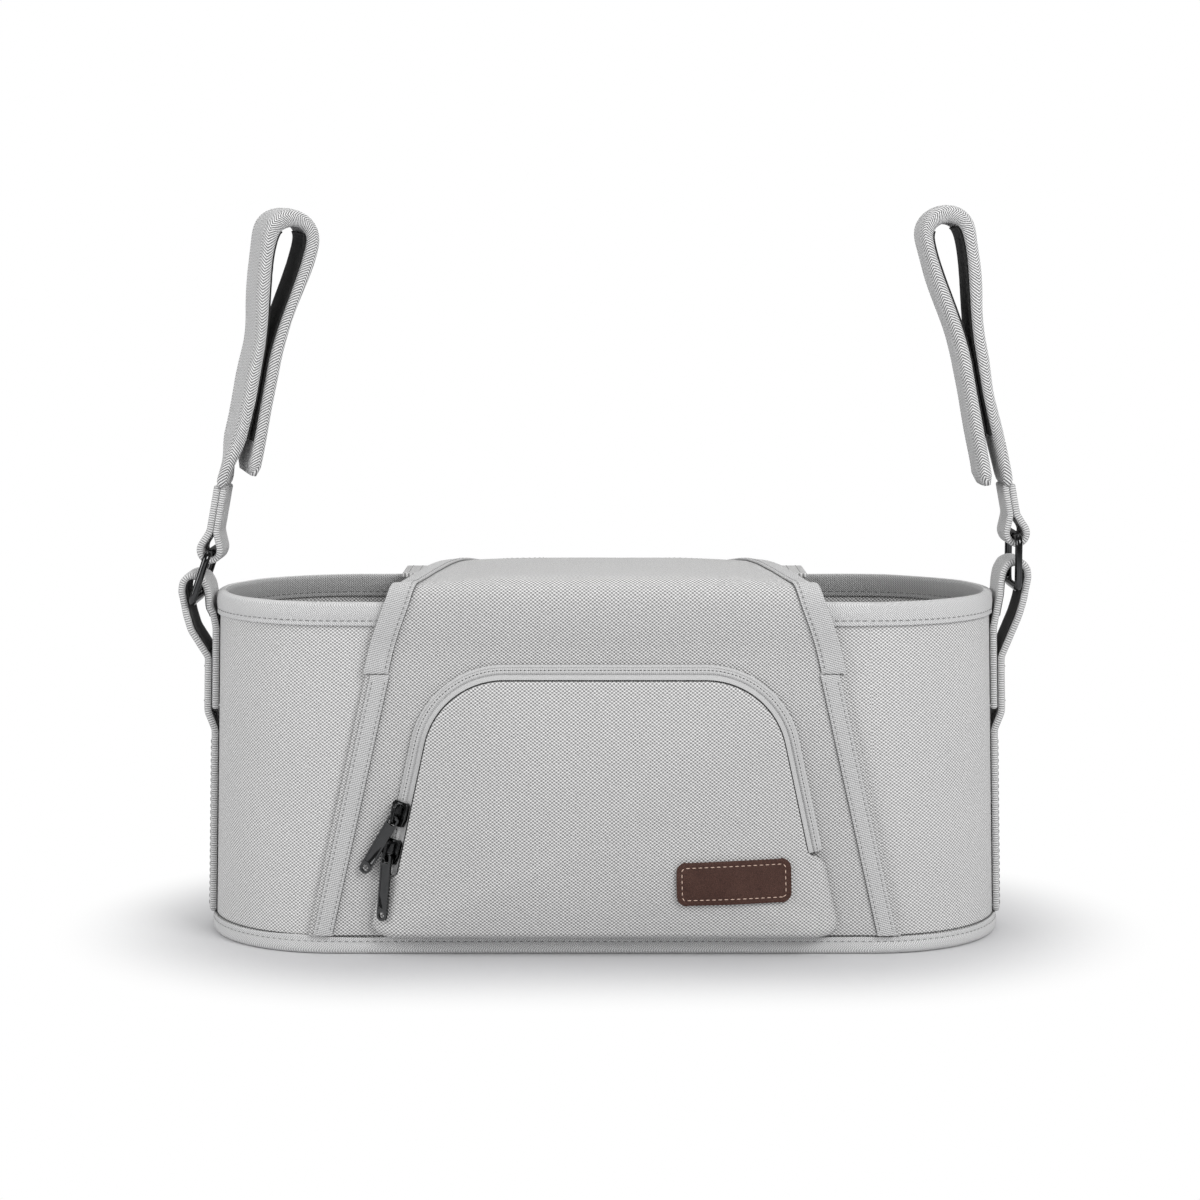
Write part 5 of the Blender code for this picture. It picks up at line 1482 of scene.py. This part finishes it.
def strap_line(tail_z):
    """(across, 0, up) points from the foot up the outer branch and down the inner one."""
    closed_outer = CLOSED_X - CLOSED_HALF_GAP
    knots = ((0.0, 0.0), (0.020, 0.5 * closed_outer), (0.042, closed_outer), (CLOSED_Z, closed_outer))
    line = [(along(knots, z), z) for z in (0.0, 0.012, 0.024, 0.042)]
    line += [(branch_centre(z) - branch_gap(z), z) for z in even(CLOSED_Z, TAPE_Z[1], 8)]
    line += [(BEND_X - EYE_RADIUS * math.cos(a), BEND_Z + EYE_RADIUS * math.sin(a))
             for a in even(0, math.pi, 16)]
    line += [(branch_centre(z) + branch_gap(z), z) for z in even(TAPE_Z[1], CLOSED_Z, 8)]
    for z in (0.042, 0.024, tail_z):
        share = (CLOSED_Z - z) / (CLOSED_Z - tail_z)
        line.append((lerp(CLOSED_X + CLOSED_HALF_GAP, TAIL_X, share), z))
    return [row[0] for row in soften([[Vector((x, 0.0, z))] for x, z in line], 0.0022, 1)]


def bend_padding(line, index):
    """The padding bunches up inside the strap's bend."""
    return BEND_PADDING * hump(line.lengths[index], line.lengths[-1] * 0.5, 0.012)


class StrapLine:
    """The middle line of one strap, with the direction into its eye at each point."""

    def __init__(self, name, side, twist):
        self.name, self.side, self.twist = name, side, twist
        self.points = strap_line(TAIL_Z[name])
        self.lengths = row_lengths(self.points)
        self.normals = []
        ends = self.points[:1] + self.points[:-1], self.points[1:] + self.points[-1:]
        for before, after in zip(*ends):
            run = after - before
            self.normals.append(Vector((run.z, 0.0, -run.x)).normalized())
        self.frame = strap_frame(name, side)

    def place(self, index, lift, y):
        """A place this far into the eye from the line and this far across the strap."""
        spot = self.points[index] + self.normals[index] * lift
        rising = index < len(self.points) // 2
        turn = self.twist * ease(spot.z / TWIST_END) if rising else self.twist
        middle = Vector((CLOSED_X, 0.0))
        across = Matrix.Rotation(turn, 2) @ (Vector((spot.x, y)) - middle) + middle
        return self.frame @ Vector((-self.side * across.x, across.y, spot.z + LINK_LENGTH[self.name]))


STRAPS = [StrapLine("left", -1, math.radians(17.0)), StrapLine("right", 1, 0.0)]
for line in STRAPS:
    print(line.name, "strap line", round(line.lengths[-1] * 1000), "mm")

# %% Straps
SEAM_IN = 0.0042
EDGE_ROLL = 0.0026


def strap_section(width, inside, outside):
    """A closed section with rolled edges, flat inside and crowned outside with two sunk seams."""
    half = width / 2
    flat = half - EDGE_ROLL
    shape = [(t * flat, inside) for t in even(-1, 1, 18)]
    for a in even(math.radians(75), math.radians(-75), 7):
        reach = inside if a > 0 else outside
        shape.append((flat + EDGE_ROLL * math.cos(a), reach * math.sin(a)))
    for t in even(1, -1, 40):
        u = t * flat
        crown = 0.00045 * (1 - t * t)
        sunk = 0.00085 * hump(abs(u), half - SEAM_IN, 0.0005)
        shape.append((u, -(outside + crown - sunk)))
    for a in even(math.radians(255), math.radians(105), 7):
        reach = inside if math.sin(a) > 0 else outside
        shape.append((-flat + EDGE_ROLL * math.cos(a), reach * math.sin(a)))
    return shape


for line in STRAPS:
    rows = []
    total = line.lengths[-1]
    for i, s in enumerate(line.lengths):
        width = STRAP_WIDTH * along(((0, 0.71), (0.010, 0.78), (0.026, 0.93), (0.042, 1.0), (1.0, 1.0)), s)
        from_tail = total - s
        width *= 1 - 0.09 * (1 - min(1.0, from_tail / 0.005)) ** 2
        width += 0.0007 * noise.noise(Vector((s * 70, 7.0 * line.side, 3.0)))
        thin = lerp(0.55, 1.0, ease(min(s + 0.001, from_tail) / 0.0045))
        soft = 0.0013 * noise.noise(Vector((s * 36, 3.0 * line.side, 0.0)))
        bulge = bend_padding(line, i)
        section = strap_section(width, STRAP_T / 2 * thin + bulge, STRAP_T / 2 * thin + soft * thin)
        rows.append([line.place(i, v, u) for u, v in section])
    bm = close_ends(lay(rows, closed=True))
    bmesh.ops.recalc_face_normals(bm, faces=bm.faces)
    strap = add_piece(line.name + "_strap_cloth", bm, STRAP_CLOTH, line.name + "_strap",
                      replaces=[line.name + "_strap"])

# %% Hook and loop tapes
HOOK_T = 0.0007
TAPE_HALF = 0.0150
for line in STRAPS:
    middle = len(line.points) // 2
    lift = STRAP_T / 2 + 0.00015 + HOOK_T / 2
    for kind, chosen in (("loop", range(0, middle)), ("hook", range(middle, len(line.points)))):
        rows = []
        for i in chosen:
            if TAPE_Z[0] - 0.001 <= line.points[i].z <= TAPE_TOP:
                ragged = TAPE_HALF + 0.0005 * noise.noise(Vector((i * 0.9, line.side, middle)))
                raised = lift + bend_padding(line, i)
                rows.append([line.place(i, raised, u) for u in even(-ragged, ragged, 12)])
        add_piece(f"{line.name}_{kind}_pile", lay(rows), PILE, line.name + "_strap",
                  ply=HOOK_T, rounding=0.0002, replaces=[f"{line.name}_{kind}_tape"])
